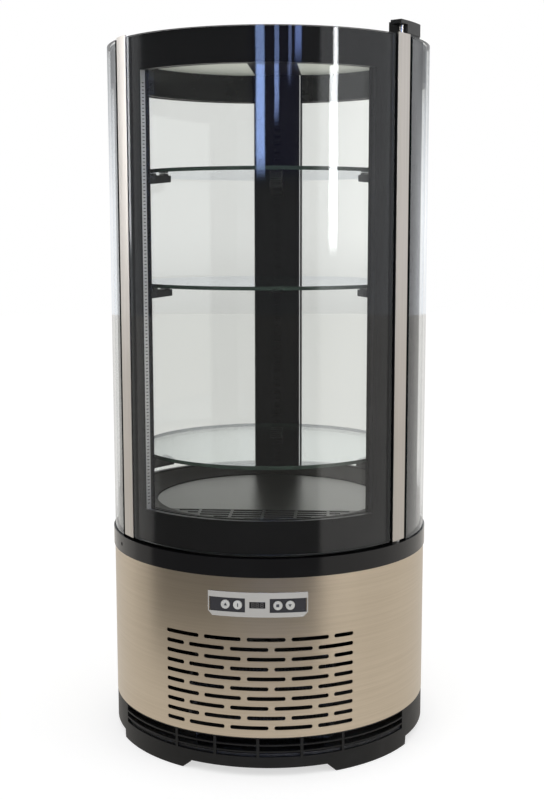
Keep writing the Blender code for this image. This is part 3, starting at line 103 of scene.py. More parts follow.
class NodeMaker:
    def __init__(self, tree):
        self.tree = tree

    def add(self, kind, settings=None, sockets=None, out=0):
        # node type, settings first, then the values or links of its sockets
        node = self.tree.nodes.new(kind)
        for key, value in (settings or {}).items():
            setattr(node, key, value)
        for key, value in (sockets or {}).items():
            socket = node.inputs[key]
            if isinstance(value, (list, tuple)) and value and isinstance(value[0], Wire):
                for wire in value:
                    self.tree.links.new(wire.socket, socket)
            elif isinstance(value, Wire):
                self.tree.links.new(value.socket, socket)
            else:
                socket.default_value = value
        return Wire(self, node.outputs[out]) if node.outputs else node

    def maths(self, operation, first, second=None):
        sockets = {0: first} if second is None else {0: first, 1: second}
        return self.add("ShaderNodeMath", {"operation": operation}, sockets)

    def vector(self, x, y, z):
        return self.add("ShaderNodeCombineXYZ", None, {0: x, 1: y, 2: z})

    def split(self, wire):
        return [self.add("ShaderNodeSeparateXYZ", None, {0: wire}, out) for out in range(3)]

    def fade(self, wire, low, high):
        # 0 below low, 1 above high, eased between
        settings = {"interpolation_type": "SMOOTHSTEP"}
        return self.add("ShaderNodeMapRange", settings, {"Value": wire, "From Min": low, "From Max": high})

    def blend(self, factor, first, second):
        # mix of two colours
        sockets = {"Factor": factor, 6: first, 7: second}
        return self.add("ShaderNodeMix", {"data_type": "RGBA"}, sockets, 2)

    def noise(self, place, scale, detail=2.0, rough=0.5):
        sockets = {"Vector": place, "Scale": scale, "Detail": detail, "Roughness": rough}
        return self.add("ShaderNodeTexNoise", None, sockets)

    def relief(self, height, depth):
        # normal of a surface that rises by this depth, in metres, where the height is 1
        return self.add("ShaderNodeBump", None, {"Strength": 1.0, "Distance": depth, "Height": height})

    def ray(self, output):
        return self.add("ShaderNodeLightPath", None, None, output)

    def moved(self, shape, sockets):
        return self.add("GeometryNodeTransform", None, {"Geometry": shape, **sockets})


def rgba(colour):
    return (*colour, 1.0)


def tinted(colour, share, lift=0.0):
    return rgba(tuple(min(part * share + lift, 1.0) for part in colour))


def startMaterial(name):
    material = bpy.data.materials.new(name)
    material.use_nodes = True
    material.node_tree.nodes.clear()
    return material, NodeMaker(material.node_tree)


def closeMaterial(maker, shader):
    maker.add("ShaderNodeOutputMaterial", None, {"Surface": shader})


def solid(maker, colour, rough, bump=None, depth=0.0, metal=0.0, shine=0.5):
    sockets = {"Base Color": colour, "Roughness": rough, "Metallic": metal, "Specular IOR Level": shine}
    if bump is not None:
        sockets["Normal"] = maker.relief(bump, depth)
    return maker.add("ShaderNodeBsdfPrincipled", None, sockets)


def objectPlace(maker):
    return maker.add("ShaderNodeTexCoord", None, None, "Object")


# Finishes; every scale is in waves to the metre, every relief in metres

steelLook = {"colour": (0.625, 0.54, 0.43), "shade": (0.545, 0.465, 0.36), "rough": 0.26, "spread": 0.1,
             "across": (2600, 420), "drumRun": (16, 4), "stripRun": (14, 3), "relief": 0.000012}


def brushedSteel(name, colour, shade, lengthwise):
    # warm stainless sheet; the brush ran along the drum, or up the strips
    material, maker = startMaterial(name)
    x, y, z = maker.split(objectPlace(maker))
    run = steelLook["stripRun"] if lengthwise else steelLook["drumRun"]
    level, up = (steelLook["across"], run) if lengthwise else (run, steelLook["across"])
    fine, broad = [maker.vector(x * level[part], y * level[part], z * up[part]) for part in (0, 1)]
    grain = maker.noise(fine, 1.0, 3.0, 0.6)
    bands = maker.noise(broad, 1.0, 2.0, 0.5)
    smudge = maker.noise(objectPlace(maker), 9.0, 3.0, 0.55)
    tone = grain * 0.45 + bands * 0.35 + smudge * 0.2
    base = maker.blend(maker.fade(tone, 0.3, 0.7), rgba(shade), rgba(colour))
    rough = steelLook["rough"] + steelLook["spread"] * (grain * 0.5 + smudge * 0.5)
    closeMaterial(maker, solid(maker, base, rough, grain + bands * 0.5, steelLook["relief"], 1.0))
    return material


blackLook = {"peel": 320.0, "haze": 14.0, "hazeTone": 1.7, "spread": 0.1, "relief": 0.00002}


def glossBlack(name, colour, rough, shine=0.45):
    # deep black with a faint orange peel and thin handling marks
    material, maker = startMaterial(name)
    place = objectPlace(maker)
    peel = maker.noise(place, blackLook["peel"], 2.0)
    haze = maker.noise(place, blackLook["haze"], 4.0, 0.6)
    base = maker.blend(haze, rgba(colour), tinted(colour, blackLook["hazeTone"]))
    rough = rough + blackLook["spread"] * maker.fade(haze, 0.35, 0.75)
    closeMaterial(maker, solid(maker, base, rough, peel, blackLook["relief"], 0.0, shine))
    return material


plasticLook = {"wear": 22.0, "paleShare": 1.9, "paleLift": 0.004, "grainRough": 0.14, "wearRough": 0.05}


def grainedPlastic(name, colour, rough, grainScale, depth=0.00006, shine=0.5):
    # moulded plastic with a fine leather grain and paler rubbed patches
    material, maker = startMaterial(name)
    place = objectPlace(maker)
    grain = maker.noise(place, grainScale, 3.0, 0.6)
    wear = maker.noise(place, plasticLook["wear"], 4.0, 0.6)
    pale = tinted(colour, plasticLook["paleShare"], plasticLook["paleLift"])
    base = maker.blend(maker.fade(wear, 0.45, 0.8) * 0.6, rgba(colour), pale)
    rough = rough + plasticLook["grainRough"] * grain - plasticLook["wearRough"] * wear
    closeMaterial(maker, solid(maker, base, rough, grain, depth, 0.0, shine))
    return material


paintLook = {"ripple": 420.0, "cloud": 11.0, "spread": 0.08, "relief": 0.00003}


def satinPaint(name, colour, rough, depth=0.00001, shine=0.5):
    # sprayed paint: soft ripple, small changes of tone
    material, maker = startMaterial(name)
    place = objectPlace(maker)
    ripple = maker.noise(place, paintLook["ripple"], 2.0)
    cloud = maker.noise(place, paintLook["cloud"], 3.0)
    base = maker.blend(cloud, tinted(colour, 0.9), tinted(colour, 1.1))
    closeMaterial(maker, solid(maker, base, rough + paintLook["spread"] * ripple, ripple, depth, 0.0, shine))
    return material


# strip: colour of the painted reflection of the dark duct column on the ceiling
ceilingLook = {"colour": (0.74, 0.75, 0.69), "strip": (0.008, 0.008, 0.009), "reflectionMiddle": 0.002,
               "reflectionSides": (0.0355, 0.0365), "reflectionEnd": (-0.13, -0.129), "rough": 0.4, "shine": 0.2}


def ceilingFinish(name):
    # pale paint with a black strip in line with the duct column: a painted reflection of that dark column
    material, maker = startMaterial(name)
    place = objectPlace(maker)
    x, y, z = maker.split(place)
    cloud = maker.noise(place, paintLook["cloud"], 3.0)
    ripple = maker.noise(place, paintLook["ripple"], 2.0)
    pale = maker.blend(cloud, tinted(ceilingLook["colour"], 0.92), rgba(ceilingLook["colour"]))
    # painted reflection of the column: black near the middle, towards the back
    beside = maker.fade(abs(x - ceilingLook["reflectionMiddle"]), *ceilingLook["reflectionSides"])
    strip = (1 - beside) * maker.fade(y, *ceilingLook["reflectionEnd"])
    base = maker.blend(strip, pale, rgba(ceilingLook["strip"]))
    rough = ceilingLook["rough"] + paintLook["spread"] * ripple
    closeMaterial(maker, solid(maker, base, rough, ripple, paintLook["relief"], 0.0, ceilingLook["shine"]))
    return material


def patterned(name, pattern, first, second, rough, spread, relief, metal):
    # bare metal or ground glass: its tone, gloss and relief follow one pattern
    material, maker = startMaterial(name)
    tone = pattern(maker, *maker.split(objectPlace(maker)))
    base = maker.blend(tone, first, second)
    closeMaterial(maker, solid(maker, base, rough + spread * tone, tone, relief, metal))
    return material


def latheRings(maker, x, y, z):
    return maker.noise(maker.vector(x * 20, y * 20, z * 3000), 1.0, 2.0)


def drawnLines(maker, x, y, z):
    return maker.noise(maker.vector(x * 900, y * 900, z * 30), 1.0, 3.0)


def heatStains(maker, x, y, z):
    return maker.noise(maker.vector(x, y, z), 60.0, 4.0, 0.6)


def groundGrain(maker, x, y, z):
    return maker.noise(maker.vector(x * 900, y * 900, z * 900), 1.0, 2.0)


def zincFlakes(maker, x, y, z):
    sockets = {"Vector": maker.vector(x, y, z), "Scale": 130.0}
    return maker.split(maker.add("ShaderNodeTexVoronoi", None, sockets, "Color"))[0]


def tones(colour, low, high):
    return tinted(colour, low), tinted(colour, high)


# pattern, its two colours, roughness and how far that spreads, relief, metallic share
patternedLooks = {
    "pinSteel": (latheRings, rgba((0.52, 0.5, 0.47)), rgba((0.72, 0.7, 0.67)), 0.16, 0.12, 0.00001, 1.0),
    # the tray's zinc is near black: painted shade, so the plinth's vents look dark
    "trayZincPaintedShade": (zincFlakes, rgba((0.05, 0.05, 0.052)), rgba((0.085, 0.086, 0.088)), 0.5, 0.2, 0.00002, 1.0),
    "pipeCopper": (heatStains, rgba((0.62, 0.29, 0.17)), rgba((0.3, 0.15, 0.1)), 0.24, 0.26, 0.00003, 1.0),
    "barAluminium": (drawnLines, *tones((0.74, 0.74, 0.74), 0.82, 1.12), 0.3, 0.18, 0.00001, 0.9),
    "finAluminium": (drawnLines, *tones((0.62, 0.63, 0.63), 0.82, 1.12), 0.3, 0.18, 0.00001, 0.9),
    "shelfEdge": (groundGrain, *tones((0.024, 0.042, 0.033), 0.8, 1.25), 0.16, 0.16, 0.00002, 0.0),
    "paneEdge": (groundGrain, *tones((0.012, 0.014, 0.014), 0.8, 1.25), 0.16, 0.16, 0.00002, 0.0),
}


glassLook = {"tint": (0.99, 0.992, 0.988), "shelfTint": (0.962, 0.98, 0.958), "gloss": (0.95, 0.97, 1.0),
             "mirror": 0.03, "rough": 0.02, "wipe": 0.004, "shelfWipe": 0.008, "swell": 0.0002}


def clearGlass(name, tint, wipe, waviness=0.0):
    # see-through sheet: more mirror towards the rim of the drum, and a faint wiped film
    material, maker = startMaterial(name)
    facing = maker.add("ShaderNodeLayerWeight", None, {"Blend": 0.5}, "Facing")
    film = maker.noise(objectPlace(maker), 7.0, 3.0, 0.6)
    least = glassLook["mirror"]
    mirror = least + (1 - least) * facing ** 5 + wipe * maker.fade(film, 0.45, 0.8)
    through = maker.add("ShaderNodeBsdfTransparent", None, {"Color": rgba(tint)})
    wave = maker.relief(maker.noise(objectPlace(maker), 13.0, 1.0), waviness)
    sockets = {"Color": rgba(glassLook["gloss"]), "Roughness": glassLook["rough"], "Normal": wave}
    gloss = maker.add("ShaderNodeBsdfGlossy", None, sockets)
    closeMaterial(maker, maker.add("ShaderNodeMixShader", None, {0: mirror, 1: through, 2: gloss}))
    return material


drumSteel = brushedSteel("drumSteel", steelLook["colour"], steelLook["shade"], False)
stripSteel = brushedSteel("stripSteel", (0.60, 0.565, 0.53), (0.50, 0.47, 0.44), True)
# the drum's brushed steel at about a third of its brightness: painted shade inside the case
deckSteelPaintedShade = brushedSteel("deckSteelPaintedShade", (0.215, 0.215, 0.205), (0.165, 0.165, 0.155), False)
enamelBlack = glossBlack("enamelBlack", (0.004, 0.004, 0.0045), 0.09, 0.38)
rimBlack = glossBlack("rimBlack", (0.007, 0.007, 0.007), 0.2, 0.35)
deckBlack = glossBlack("deckBlack", (0.009, 0.008, 0.007), 0.5, 0.06)
frameBlack = glossBlack("frameBlack", (0.006, 0.006, 0.007), 0.3, 0.15)
printedInk = glossBlack("printedInk", (0.004, 0.004, 0.0045), 0.5, 0.02)
windowBlack = glossBlack("windowBlack", (0.006, 0.006, 0.007), 0.06)
plinthPlastic = grainedPlastic("plinthPlastic", (0.006, 0.006, 0.0058), 0.42, 1500.0, 0.00006, 0.22)
clipPlastic = grainedPlastic("clipPlastic", (0.012, 0.012, 0.013), 0.34, 1900.0, 0.00004)
hingePlastic = grainedPlastic("hingePlastic", (0.012, 0.012, 0.012), 0.4, 1700.0)
sealRubber = grainedPlastic("sealRubber", (0.016, 0.016, 0.017), 0.6, 900.0, 0.00008)
whiteNylon = grainedPlastic("whiteNylon", (0.72, 0.71, 0.67), 0.4, 700.0, 0.00003)
tubPlastic = grainedPlastic("tubPlastic", (0.66, 0.66, 0.63), 0.38, 600.0, 0.00003)
keyPlastic = grainedPlastic("keyPlastic", (0.43, 0.43, 0.415), 0.36, 1600.0, 0.00002)
ceilingPaint = ceilingFinish("ceilingPaint")
machinePaint = satinPaint("machinePaint", (0.02, 0.02, 0.022), 0.3, paintLook["relief"])
ductPaint = satinPaint("ductPaint", (0.008, 0.008, 0.009), 0.5, paintLook["relief"], 0.08)
bezelLacquer = satinPaint("bezelLacquer", (0.41, 0.4, 0.385), 0.3)
windowFilm = satinPaint("windowFilm", (0.034, 0.034, 0.04), 0.2)
symbolInk = satinPaint("symbolInk", (0.035, 0.038, 0.05), 0.35)
digitInk = satinPaint("digitInk", (0.16, 0.15, 0.15), 0.3)
pinSteel, trayZincPaintedShade, pipeCopper, barAluminium, finAluminium, shelfEdge, paneEdge = [
    patterned(name, *values) for name, values in patternedLooks.items()]
paneGlass = clearGlass("paneGlass", glassLook["tint"], glassLook["wipe"])
doorGlass = clearGlass("doorGlass", glassLook["tint"], glassLook["wipe"], glassLook["swell"])
shelfGlass = clearGlass("shelfGlass", glassLook["shelfTint"], glassLook["shelfWipe"])
print("finishes: %d" % len(bpy.data.materials))


# Copies of the CAD solids, with true circles and eased edges

drumStep = {"flat": 6.0, "fine": 1.5}    # degrees: a flat side of a CAD drum, and the step drawn here
# metres, degrees and cosines: points that are joined, faces that are one flat, points too near the axis to be
# moved or turned, walls that face outwards, and the corners that stay sharp or are eased
copyRules = {"weld": 0.000002, "flatFrom": 0.05, "cut": 0.0000005, "core": 0.005, "wall": 0.995,
             "wallCore": 0.01, "sharpFrom": 32, "easeFrom": 35, "broadFrom": 0.9}


def flatShare(angle):
    # how far a flat side of the CAD drum lies inside its circle at this angle
    offset = angle % drumStep["flat"] - drumStep["flat"] / 2
    return math.cos(math.radians(drumStep["flat"] / 2)) / math.cos(math.radians(offset))


def drumPoint(radius, angle, height):
    turn = math.radians(angle)
    return Vector((radius * math.sin(turn), -radius * math.cos(turn), height))


def nodeMesh(name):
    # one mesh from the loose triangles of a CAD node, joined up again
    bm = bmesh.new()
    bm.from_mesh(cadNodes[name].data)
    bmesh.ops.remove_doubles(bm, verts=bm.verts, dist=copyRules["weld"])
    flat = math.radians(copyRules["flatFrom"])
    bmesh.ops.dissolve_limit(bm, angle_limit=flat, verts=bm.verts, edges=bm.edges)
    return bm


def roundOff(bm):
    # cuts the flat sides finer, then moves every point out to the true circle
    for index in range(int(180 / drumStep["fine"])):
        angle = index * drumStep["fine"]
        if angle % drumStep["flat"]:
            turn = math.radians(angle)
            across = (math.cos(turn), math.sin(turn), 0)
            everything = bm.verts[:] + bm.edges[:] + bm.faces[:]
            plane = {"plane_co": (0, 0, 0), "plane_no": across}
            bmesh.ops.bisect_plane(bm, geom=everything, dist=copyRules["cut"], **plane)
    for vert in bm.verts:
        if vert.co.xy.length > copyRules["core"]:
            share = flatShare(math.degrees(math.atan2(vert.co.x, -vert.co.y)))
            vert.co.x /= share
            vert.co.y /= share


def shadeDrum(mesh):
    # walls of the drum take the direction out of the axis as their normal, the rest stays flat
    mesh.shade_smooth()
    normals = [Vector((0, 0, 1))] * len(mesh.loops)
    for face in mesh.polygons:
        level = Vector(face.normal.xy).length
        outward = Vector(face.center.xy).normalized()
        along = face.normal.xy.normalized().dot(outward) if level > 0.02 else 0.0
        for index in face.loop_indices:
            place = mesh.vertices[mesh.loops[index].vertex_index].co
            if abs(along) > copyRules["wall"] and place.xy.length > copyRules["wallCore"]:
                spoke = place.xy.normalized() * level * math.copysign(1.0, along)
                normals[index] = Vector((spoke.x, spoke.y, face.normal.z)).normalized()
            else:
                normals[index] = face.normal.copy()
    mesh.normals_split_custom_set(normals)


def shadePlain(mesh):
    mesh.shade_smooth()
    mesh.set_sharp_from_angle(angle=math.radians(copyRules["sharpFrom"]))


def bakeModifiers(piece):
    # keeps the finished mesh and drops the modifiers
    graph = bpy.context.evaluated_depsgraph_get()
    mesh = bpy.data.meshes.new_from_object(piece.evaluated_get(graph))
    piece.modifiers.clear()
    piece.data = mesh


def addObject(name, data):
    piece = bpy.data.objects.new(name, data)
    bpy.context.scene.collection.objects.link(piece)
    return piece


def addPiece(name, bm, materials):
    mesh = bpy.data.meshes.new(name)
    bm.to_mesh(mesh)
    bm.free()
    for material in materials:
        mesh.materials.append(material)
    return addObject(name, mesh)


def easeEdges(piece, width, segments):
    bevel = piece.modifiers.new("ease", "BEVEL")
    bevel.width = width
    bevel.segments = segments
    bevel.limit_method = "ANGLE"
    bevel.angle_limit = math.radians(copyRules["easeFrom"])
    bakeModifiers(piece)


def bodyOf(node):
    body = body_of(cadNodes[node])
    return body if isinstance(body, str) else body[0]


def dress(piece, node):
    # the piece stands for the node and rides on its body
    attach(piece, bodyOf(node))
    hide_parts(node)


def copyPiece(node, material, ease=0.0, circles=True):
    bm = nodeMesh(node)
    if circles:
        roundOff(bm)
    piece = addPiece(node + ".shown", bm, [material])
    if ease:
        easeEdges(piece, ease, 2)
    if circles:
        shadeDrum(piece.data)
    else:
        shadePlain(piece.data)
    dress(piece, node)
    return piece


def glassPiece(node, clear, edge, ease, flat):
    # sheet of glass: the rim faces take the ground-edge finish
    bm = nodeMesh(node)
    roundOff(bm)
    piece = addPiece(node + ".shown", bm, [clear, edge])
    easeEdges(piece, ease, 1)
    shadeDrum(piece.data)
    for face in piece.data.polygons:
        outward = Vector(face.center.xy).normalized()
        broad = abs(face.normal.z) if flat else abs(face.normal.xy.dot(outward))
        face.material_index = 0 if broad > copyRules["broadFrom"] else 1
    dress(piece, node)


# node, finish, slot of the record, width of the eased edge
roundCopies = [
    ("plinth", plinthPlastic, "black_plastic", 0.0006),
    ("base_tray", trayZincPaintedShade, "galvanised", 0.0003),
    ("collar", enamelBlack, "gloss_black", 0.0007),
    ("insulated_tub", tubPlastic, "white_plastic", 0.0008),
    ("deck_rim", deckBlack, "gloss_black", 0.0007),
    ("deck_plate", deckSteelPaintedShade, "brushed_steel", 0.0002),
    ("deck_grille", clipPlastic, "black_plastic", 0.0004),
    ("column_cover", ductPaint, "dark_paint", 0.0008),
    ("left_pillar", clipPlastic, "black_plastic", 0.0006),
    ("right_pillar", clipPlastic, "black_plastic", 0.0006),
    ("left_pane_spacer", frameBlack, "gloss_black", 0.0004),
    ("right_pane_spacer", frameBlack, "gloss_black", 0.0004),
    ("roof_cap", rimBlack, "gloss_black", 0.0008),
    ("ceiling_panel", ceilingPaint, "white_paint", 0.0003),
    ("door_strip_left", stripSteel, "brushed_steel", 0.0003),
    ("door_strip_right", stripSteel, "brushed_steel", 0.0003),
    ("door_gasket", sealRubber, "black_rubber", 0.0009),
    ("hinge_block", hingePlastic, "black_plastic", 0.0009),
    ("panel_bezel", bezelLacquer, "silver_panel", 0.0003),
    ("button_plate", windowFilm, "dark_panel", 0.0),
    ("display_window", windowBlack, "gloss_black", 0.0002),
]
for nodeName, look, slotName, ease in roundCopies:
    copyPiece(nodeName, look, ease)

plainCopies = [
    ("back_column", ductPaint, "dark_paint", 0.0008),
    ("compressor", machinePaint, "dark_paint", 0.0012),
    ("condenser_fan_shroud", clipPlastic, "black_plastic", 0.0006),
    ("condenser_fan_blades", clipPlastic, "black_plastic", 0.0),
    ("evaporator_fan_frame", clipPlastic, "black_plastic", 0.0005),
    ("evaporator_fan_blades", clipPlastic, "black_plastic", 0.0),
    ("suction_pipe", pipeCopper, "copper", 0.0),
    ("lamp_bar", whiteNylon, "white_plastic", 0.0008),
    ("cable_gland", hingePlastic, "black_plastic", 0.0003),
    ("hinge_pin", pinSteel, "bright_steel", 0.0003),
    ("hinge_foot_pin", pinSteel, "bright_steel", 0.0003),
    ("hinge_bush", whiteNylon, "white_plastic", 0.0004),
]
for level in ("upper", "middle", "lower"):
    for side in ("left", "right", "back"):
        plainCopies.append((side + "_clip_" + level, clipPlastic, "black_plastic", 0.0007))
for number in range(1, 5):
    plainCopies.append(("button_%d" % number, keyPlastic, "button_grey", 0.0005))
for nodeName, look, slotName, ease in plainCopies:
    copyPiece(nodeName, look, ease, circles=False)
print("copies: %d" % (len(roundCopies) + len(plainCopies)))

for side, look in (("left", paneGlass), ("right", paneGlass), ("door", doorGlass)):
    for layer in ("outer", "inner"):
        glassPiece("%s_%s_pane" % (side, layer), look, paneEdge, 0.0004, False)
for level in ("upper", "middle", "lower"):
    glassPiece("shelf_" + level, shelfGlass, shelfEdge, 0.0006, True)
print("glass: 9 sheets")


# Black print on the inside of the outer sheets: the door's frame, and a band beside it on the right pane

printShape = {"radius": 0.2209, "sheet": 0.0001, "low": 0.3015, "high": 0.9705}
doorPrint = {"left": -51.4, "right": 50.5, "clearLeft": -44.8, "clearRight": 42.6, "clearLow": 0.3455,
             "clearHigh": 0.9266}
sidePrint = {"left": 61.0, "right": 74.5}


def printBorder(name, body, span, window=None):
    count = math.ceil((span["right"] - span["left"]) / drumStep["fine"])
    angles = [span["left"] + (span["right"] - span["left"]) * step / count for step in range(count + 1)]
    heights = [printShape["low"], printShape["high"]]
    if window:
        angles = sorted(set(angles + [window["clearLeft"], window["clearRight"]]))
        heights = [printShape["low"], window["clearLow"], window["clearHigh"], printShape["high"]]
    bm = bmesh.new()
    grid = []
    for angle in angles:
        grid.append([bm.verts.new(drumPoint(printShape["radius"], angle, height)) for height in heights])
    for column in range(len(angles) - 1):
        middle = (angles[column] + angles[column + 1]) / 2
        for row in range(len(heights) - 1):
            if row == 1 and window["clearLeft"] < middle < window["clearRight"]:
                continue
            one, two = grid[column], grid[column + 1]
            bm.faces.new((one[row], two[row], two[row + 1], one[row + 1]))
    loose = [vert for vert in bm.verts if not vert.link_faces]
    bmesh.ops.delete(bm, geom=loose, context="VERTS")
    piece = addPiece(name, bm, [printedInk])
    thicken = piece.modifiers.new("thicken", "SOLIDIFY")
    thicken.thickness = printShape["sheet"]
    thicken.offset = -1
    bakeModifiers(piece)
    shadeDrum(piece.data)
    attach(piece, body)


printBorder("door_print", "door", doorPrint, doorPrint)
printBorder("side_print", "cabinet", sidePrint)
print("print: 2 borders")


# Geometry Nodes

def numberInputs(shape, whole=()):
    # inputs for the sizes of a piece; those named in whole are counts
    return [(label, "Int" if label in whole else "Float", value) for label, value in shape.items()]


def startTree(name, inputs):
    # new tree with named inputs; returns its maker and a wire from each input
    tree = bpy.data.node_groups.new(name, "GeometryNodeTree")
    for label, kind, value in inputs:
        socket = tree.interface.new_socket(label, in_out="INPUT", socket_type="NodeSocket" + kind)
        if value is not None:
            socket.default_value = value
    tree.interface.new_socket("Geometry", in_out="OUTPUT", socket_type="NodeSocketGeometry")
    maker = NodeMaker(tree)
    entry = tree.nodes.new("NodeGroupInput")
    return maker, {label: Wire(maker, entry.outputs[label]) for label, kind, value in inputs}


def painted(maker, shape, material):
    real = maker.add("GeometryNodeRealizeInstances", None, {0: shape})
    return maker.add("GeometryNodeSetMaterial", None, {"Geometry": real, "Material": material})


def closeTree(maker, shape):
    maker.add("NodeGroupOutput", None, {0: shape})
    return maker.tree


def growPiece(name, tree, values):
    # runs the tree on an empty object and keeps the plain mesh
    piece = addObject(name, bpy.data.meshes.new(name))
    grow = piece.modifiers.new("grow", "NODES")
    grow.node_group = tree
    for socket in tree.interface.items_tree:
        if socket.in_out == "INPUT" and socket.name in values:
            grow[socket.identifier] = values[socket.name]
    bakeModifiers(piece)
    return piece


def capsule(maker, length, height, depth):
    # slot cutter with round ends, lying along X
    sockets = {"Vertices": 14, "Side Segments": 1, "Radius": height / 2, "Depth": depth}
    drum = maker.add("GeometryNodeMeshCylinder", {"fill_type": "NGON"}, sockets)
    x = maker.split(maker.add("GeometryNodeInputPosition"))[0]
    stretch = maker.vector(maker.maths("SIGN", x) * (length - height) / 2, 0.0, 0.0)
    return maker.add("GeometryNodeSetPosition", None, {"Geometry": drum, "Offset": stretch})


def scatter(maker, count, place, shape, keep=None):
    # puts the shape on a row of points whose places follow from their numbers
    line = maker.add("GeometryNodeMeshLine", None, {"Count": count, "Offset": (0.001, 0, 0)})
    points = maker.add("GeometryNodeSetPosition", None, {"Geometry": line, "Position": place})
    sockets = {"Points": points, "Instance": shape}
    if keep is not None:
        sockets["Selection"] = keep
    return maker.add("GeometryNodeInstanceOnPoints", None, sockets)


# Steel drum with its grille: lengths in metres, angles in degrees

drumShape = {"Radius": 0.2259, "Sheet": 0.001, "Low": 0.0538, "High": 0.2717, "Rows": 10, "Top row": 0.1882,
             "Row pitch": 0.01345, "Slot height": 0.0055, "Slot span": 13.05, "Slot step": 15.0,
             "Limit": 33.65, "Louvre rows": 6, "Louvre low": 0.085, "Louvre pitch": 0.018,
             "Louvre height": 0.006, "Louvre span": 24.0, "Louvre middle": 158.0, "Opening half": 16.3,
             "Opening low": 0.2215, "Opening high": 0.2495, "Inlet angle": -177.0, "Inlet level": 0.09,
             "Inlet radius": 0.0083}
drumRules = {"slotsInRow": 5, "cutterSheets": 8, "seam": 0.00001, "weld": 0.00002}


def grilleSlots(maker, given, arc, middle, depth):
    # each row has five slots, the last one cut short; every second row is the mirror image
    many = drumRules["slotsInRow"]
    index = maker.add("GeometryNodeInputIndex")
    row = maker.maths("FLOOR", index / many)
    turn = index - row * many
    start = turn * given["Slot step"] - given["Limit"]
    end = maker.maths("MINIMUM", start + given["Slot span"], given["Limit"])
    mirror = 1 - (row % 2) * 2
    level = given["Top row"] - row * given["Row pitch"] - middle
    place = maker.vector((start + end) / 2 * mirror * arc, level, 0.0)
    full = maker.maths("LESS_THAN", turn, many - 1.5)
    rest = given["Limit"] * 2 - given["Slot step"] * (many - 1)
    longSlot = capsule(maker, given["Slot span"] * arc, given["Slot height"], depth)
    shortSlot = capsule(maker, rest * arc, given["Slot height"], depth)
    count = given["Rows"] * many
    return scatter(maker, count, place, longSlot, full), scatter(maker, count, place, shortSlot, 1 - full)


def rearLouvres(maker, given, arc, middle, depth):
    # two fields of slits, left and right of the cord's inlet
    index = maker.add("GeometryNodeInputIndex")
    field = maker.maths("FLOOR", index / given["Louvre rows"])
    rank = index - field * given["Louvre rows"]
    across = (field * 2 - 1) * given["Louvre middle"] * arc
    level = given["Louvre low"] + rank * given["Louvre pitch"] - middle
    slit = capsule(maker, given["Louvre span"] * arc, given["Louvre height"], depth)
    return scatter(maker, given["Louvre rows"] * 2, maker.vector(across, level, 0.0), slit)


def panelOpening(maker, given, arc, middle, depth):
    tall = given["Opening high"] - given["Opening low"]
    size = maker.vector(given["Opening half"] * 2 * arc, tall, depth)
    block = maker.add("GeometryNodeMeshCube", None, {"Size": size})
    lift = maker.vector(0.0, (given["Opening high"] + given["Opening low"]) / 2 - middle, 0.0)
    return maker.moved(block, {"Translation": lift})


def inletHole(maker, given, arc, middle, depth):
    sockets = {"Vertices": 32, "Radius": given["Inlet radius"], "Depth": depth}
    bore = maker.add("GeometryNodeMeshCylinder", None, sockets)
    shift = maker.vector(given["Inlet angle"] * arc, given["Inlet level"] - middle, 0.0)
    return maker.moved(bore, {"Translation": shift})


def drumTree():
    # the sheet is cut while it is flat, then bent round the axis and joined at the back
    inputs = numberInputs(drumShape, ("Rows", "Louvre rows"))
    maker, given = startTree("steelDrum", inputs + [("Material", "Material", None)])
    arc = given["Radius"] * math.pi / 180
    middle = (given["Low"] + given["High"]) / 2
    depth = given["Sheet"] * drumRules["cutterSheets"]
    size = maker.vector(given["Radius"] * 2 * math.pi, given["High"] - given["Low"], given["Sheet"])
    columns = int(360 / drumStep["fine"]) + 1
    sockets = {"Size": size, "Vertices X": columns, "Vertices Y": 2, "Vertices Z": 2}
    flat = maker.add("GeometryNodeMeshCube", None, sockets)

    shared = (maker, given, arc, middle, depth)
    shapes = (*grilleSlots(*shared), rearLouvres(*shared), panelOpening(*shared), inletHole(*shared))
    cutters = [maker.add("GeometryNodeRealizeInstances", None, {0: shape}) for shape in shapes]
    settings = {"operation": "DIFFERENCE", "solver": "EXACT"}
    cut = maker.add("GeometryNodeMeshBoolean", settings, {"Mesh 1": flat, "Mesh 2": cutters})

    x, y, z = maker.split(maker.add("GeometryNodeInputPosition"))
    atSeam = maker.maths("GREATER_THAN", abs(x), given["Radius"] * math.pi - drumRules["seam"])
    sockets = {"Geometry": cut, "Selection": atSeam}
    opened = maker.add("GeometryNodeDeleteGeometry", {"domain": "FACE"}, sockets)
    angle = x / given["Radius"]
    reach = given["Radius"] - given["Sheet"] / 2 + z
    ahead = maker.maths("COSINE", angle) * reach * -1
    wrapped = maker.vector(maker.maths("SINE", angle) * reach, ahead, y + middle)
    bent = maker.add("GeometryNodeSetPosition", None, {"Geometry": opened, "Position": wrapped})
    sockets = {"Geometry": bent, "Distance": drumRules["weld"]}
    joined = maker.add("GeometryNodeMergeByDistance", None, sockets)
    return closeTree(maker, painted(maker, joined, given["Material"]))


drum = growPiece("body_wrap.shown", drumTree(), {**drumShape, "Material": drumSteel})
shadeDrum(drum.data)
dress(drum, "body_wrap")
print("steel drum: %d faces" % len(drum.data.polygons))


# Coils: thin fins on rows of tube with bends at both ends

condenserShape = {"Length": 0.2, "Depth": 0.04, "Height": 0.14, "Fins": 92, "Fin sheet": 0.0004,
                  "Tube radius": 0.0036, "Rows": 6, "End": 0.013}
evaporatorShape = {**condenserShape, "Length": 0.18, "Depth": 0.06, "Height": 0.07, "Fins": 52, "Rows": 4,
                   "End": 0.012}


def coilFins(maker, given, pack):
    index = maker.add("GeometryNodeInputIndex")
    size = maker.vector(given["Fin sheet"], given["Depth"], given["Height"])
    fin = maker.add("GeometryNodeMeshCube", None, {"Size": size})
    place = maker.vector(index / (given["Fins"] - 1) * pack - pack / 2, 0.0, 0.0)
    return painted(maker, scatter(maker, given["Fins"], place, fin), given["Fin material"])


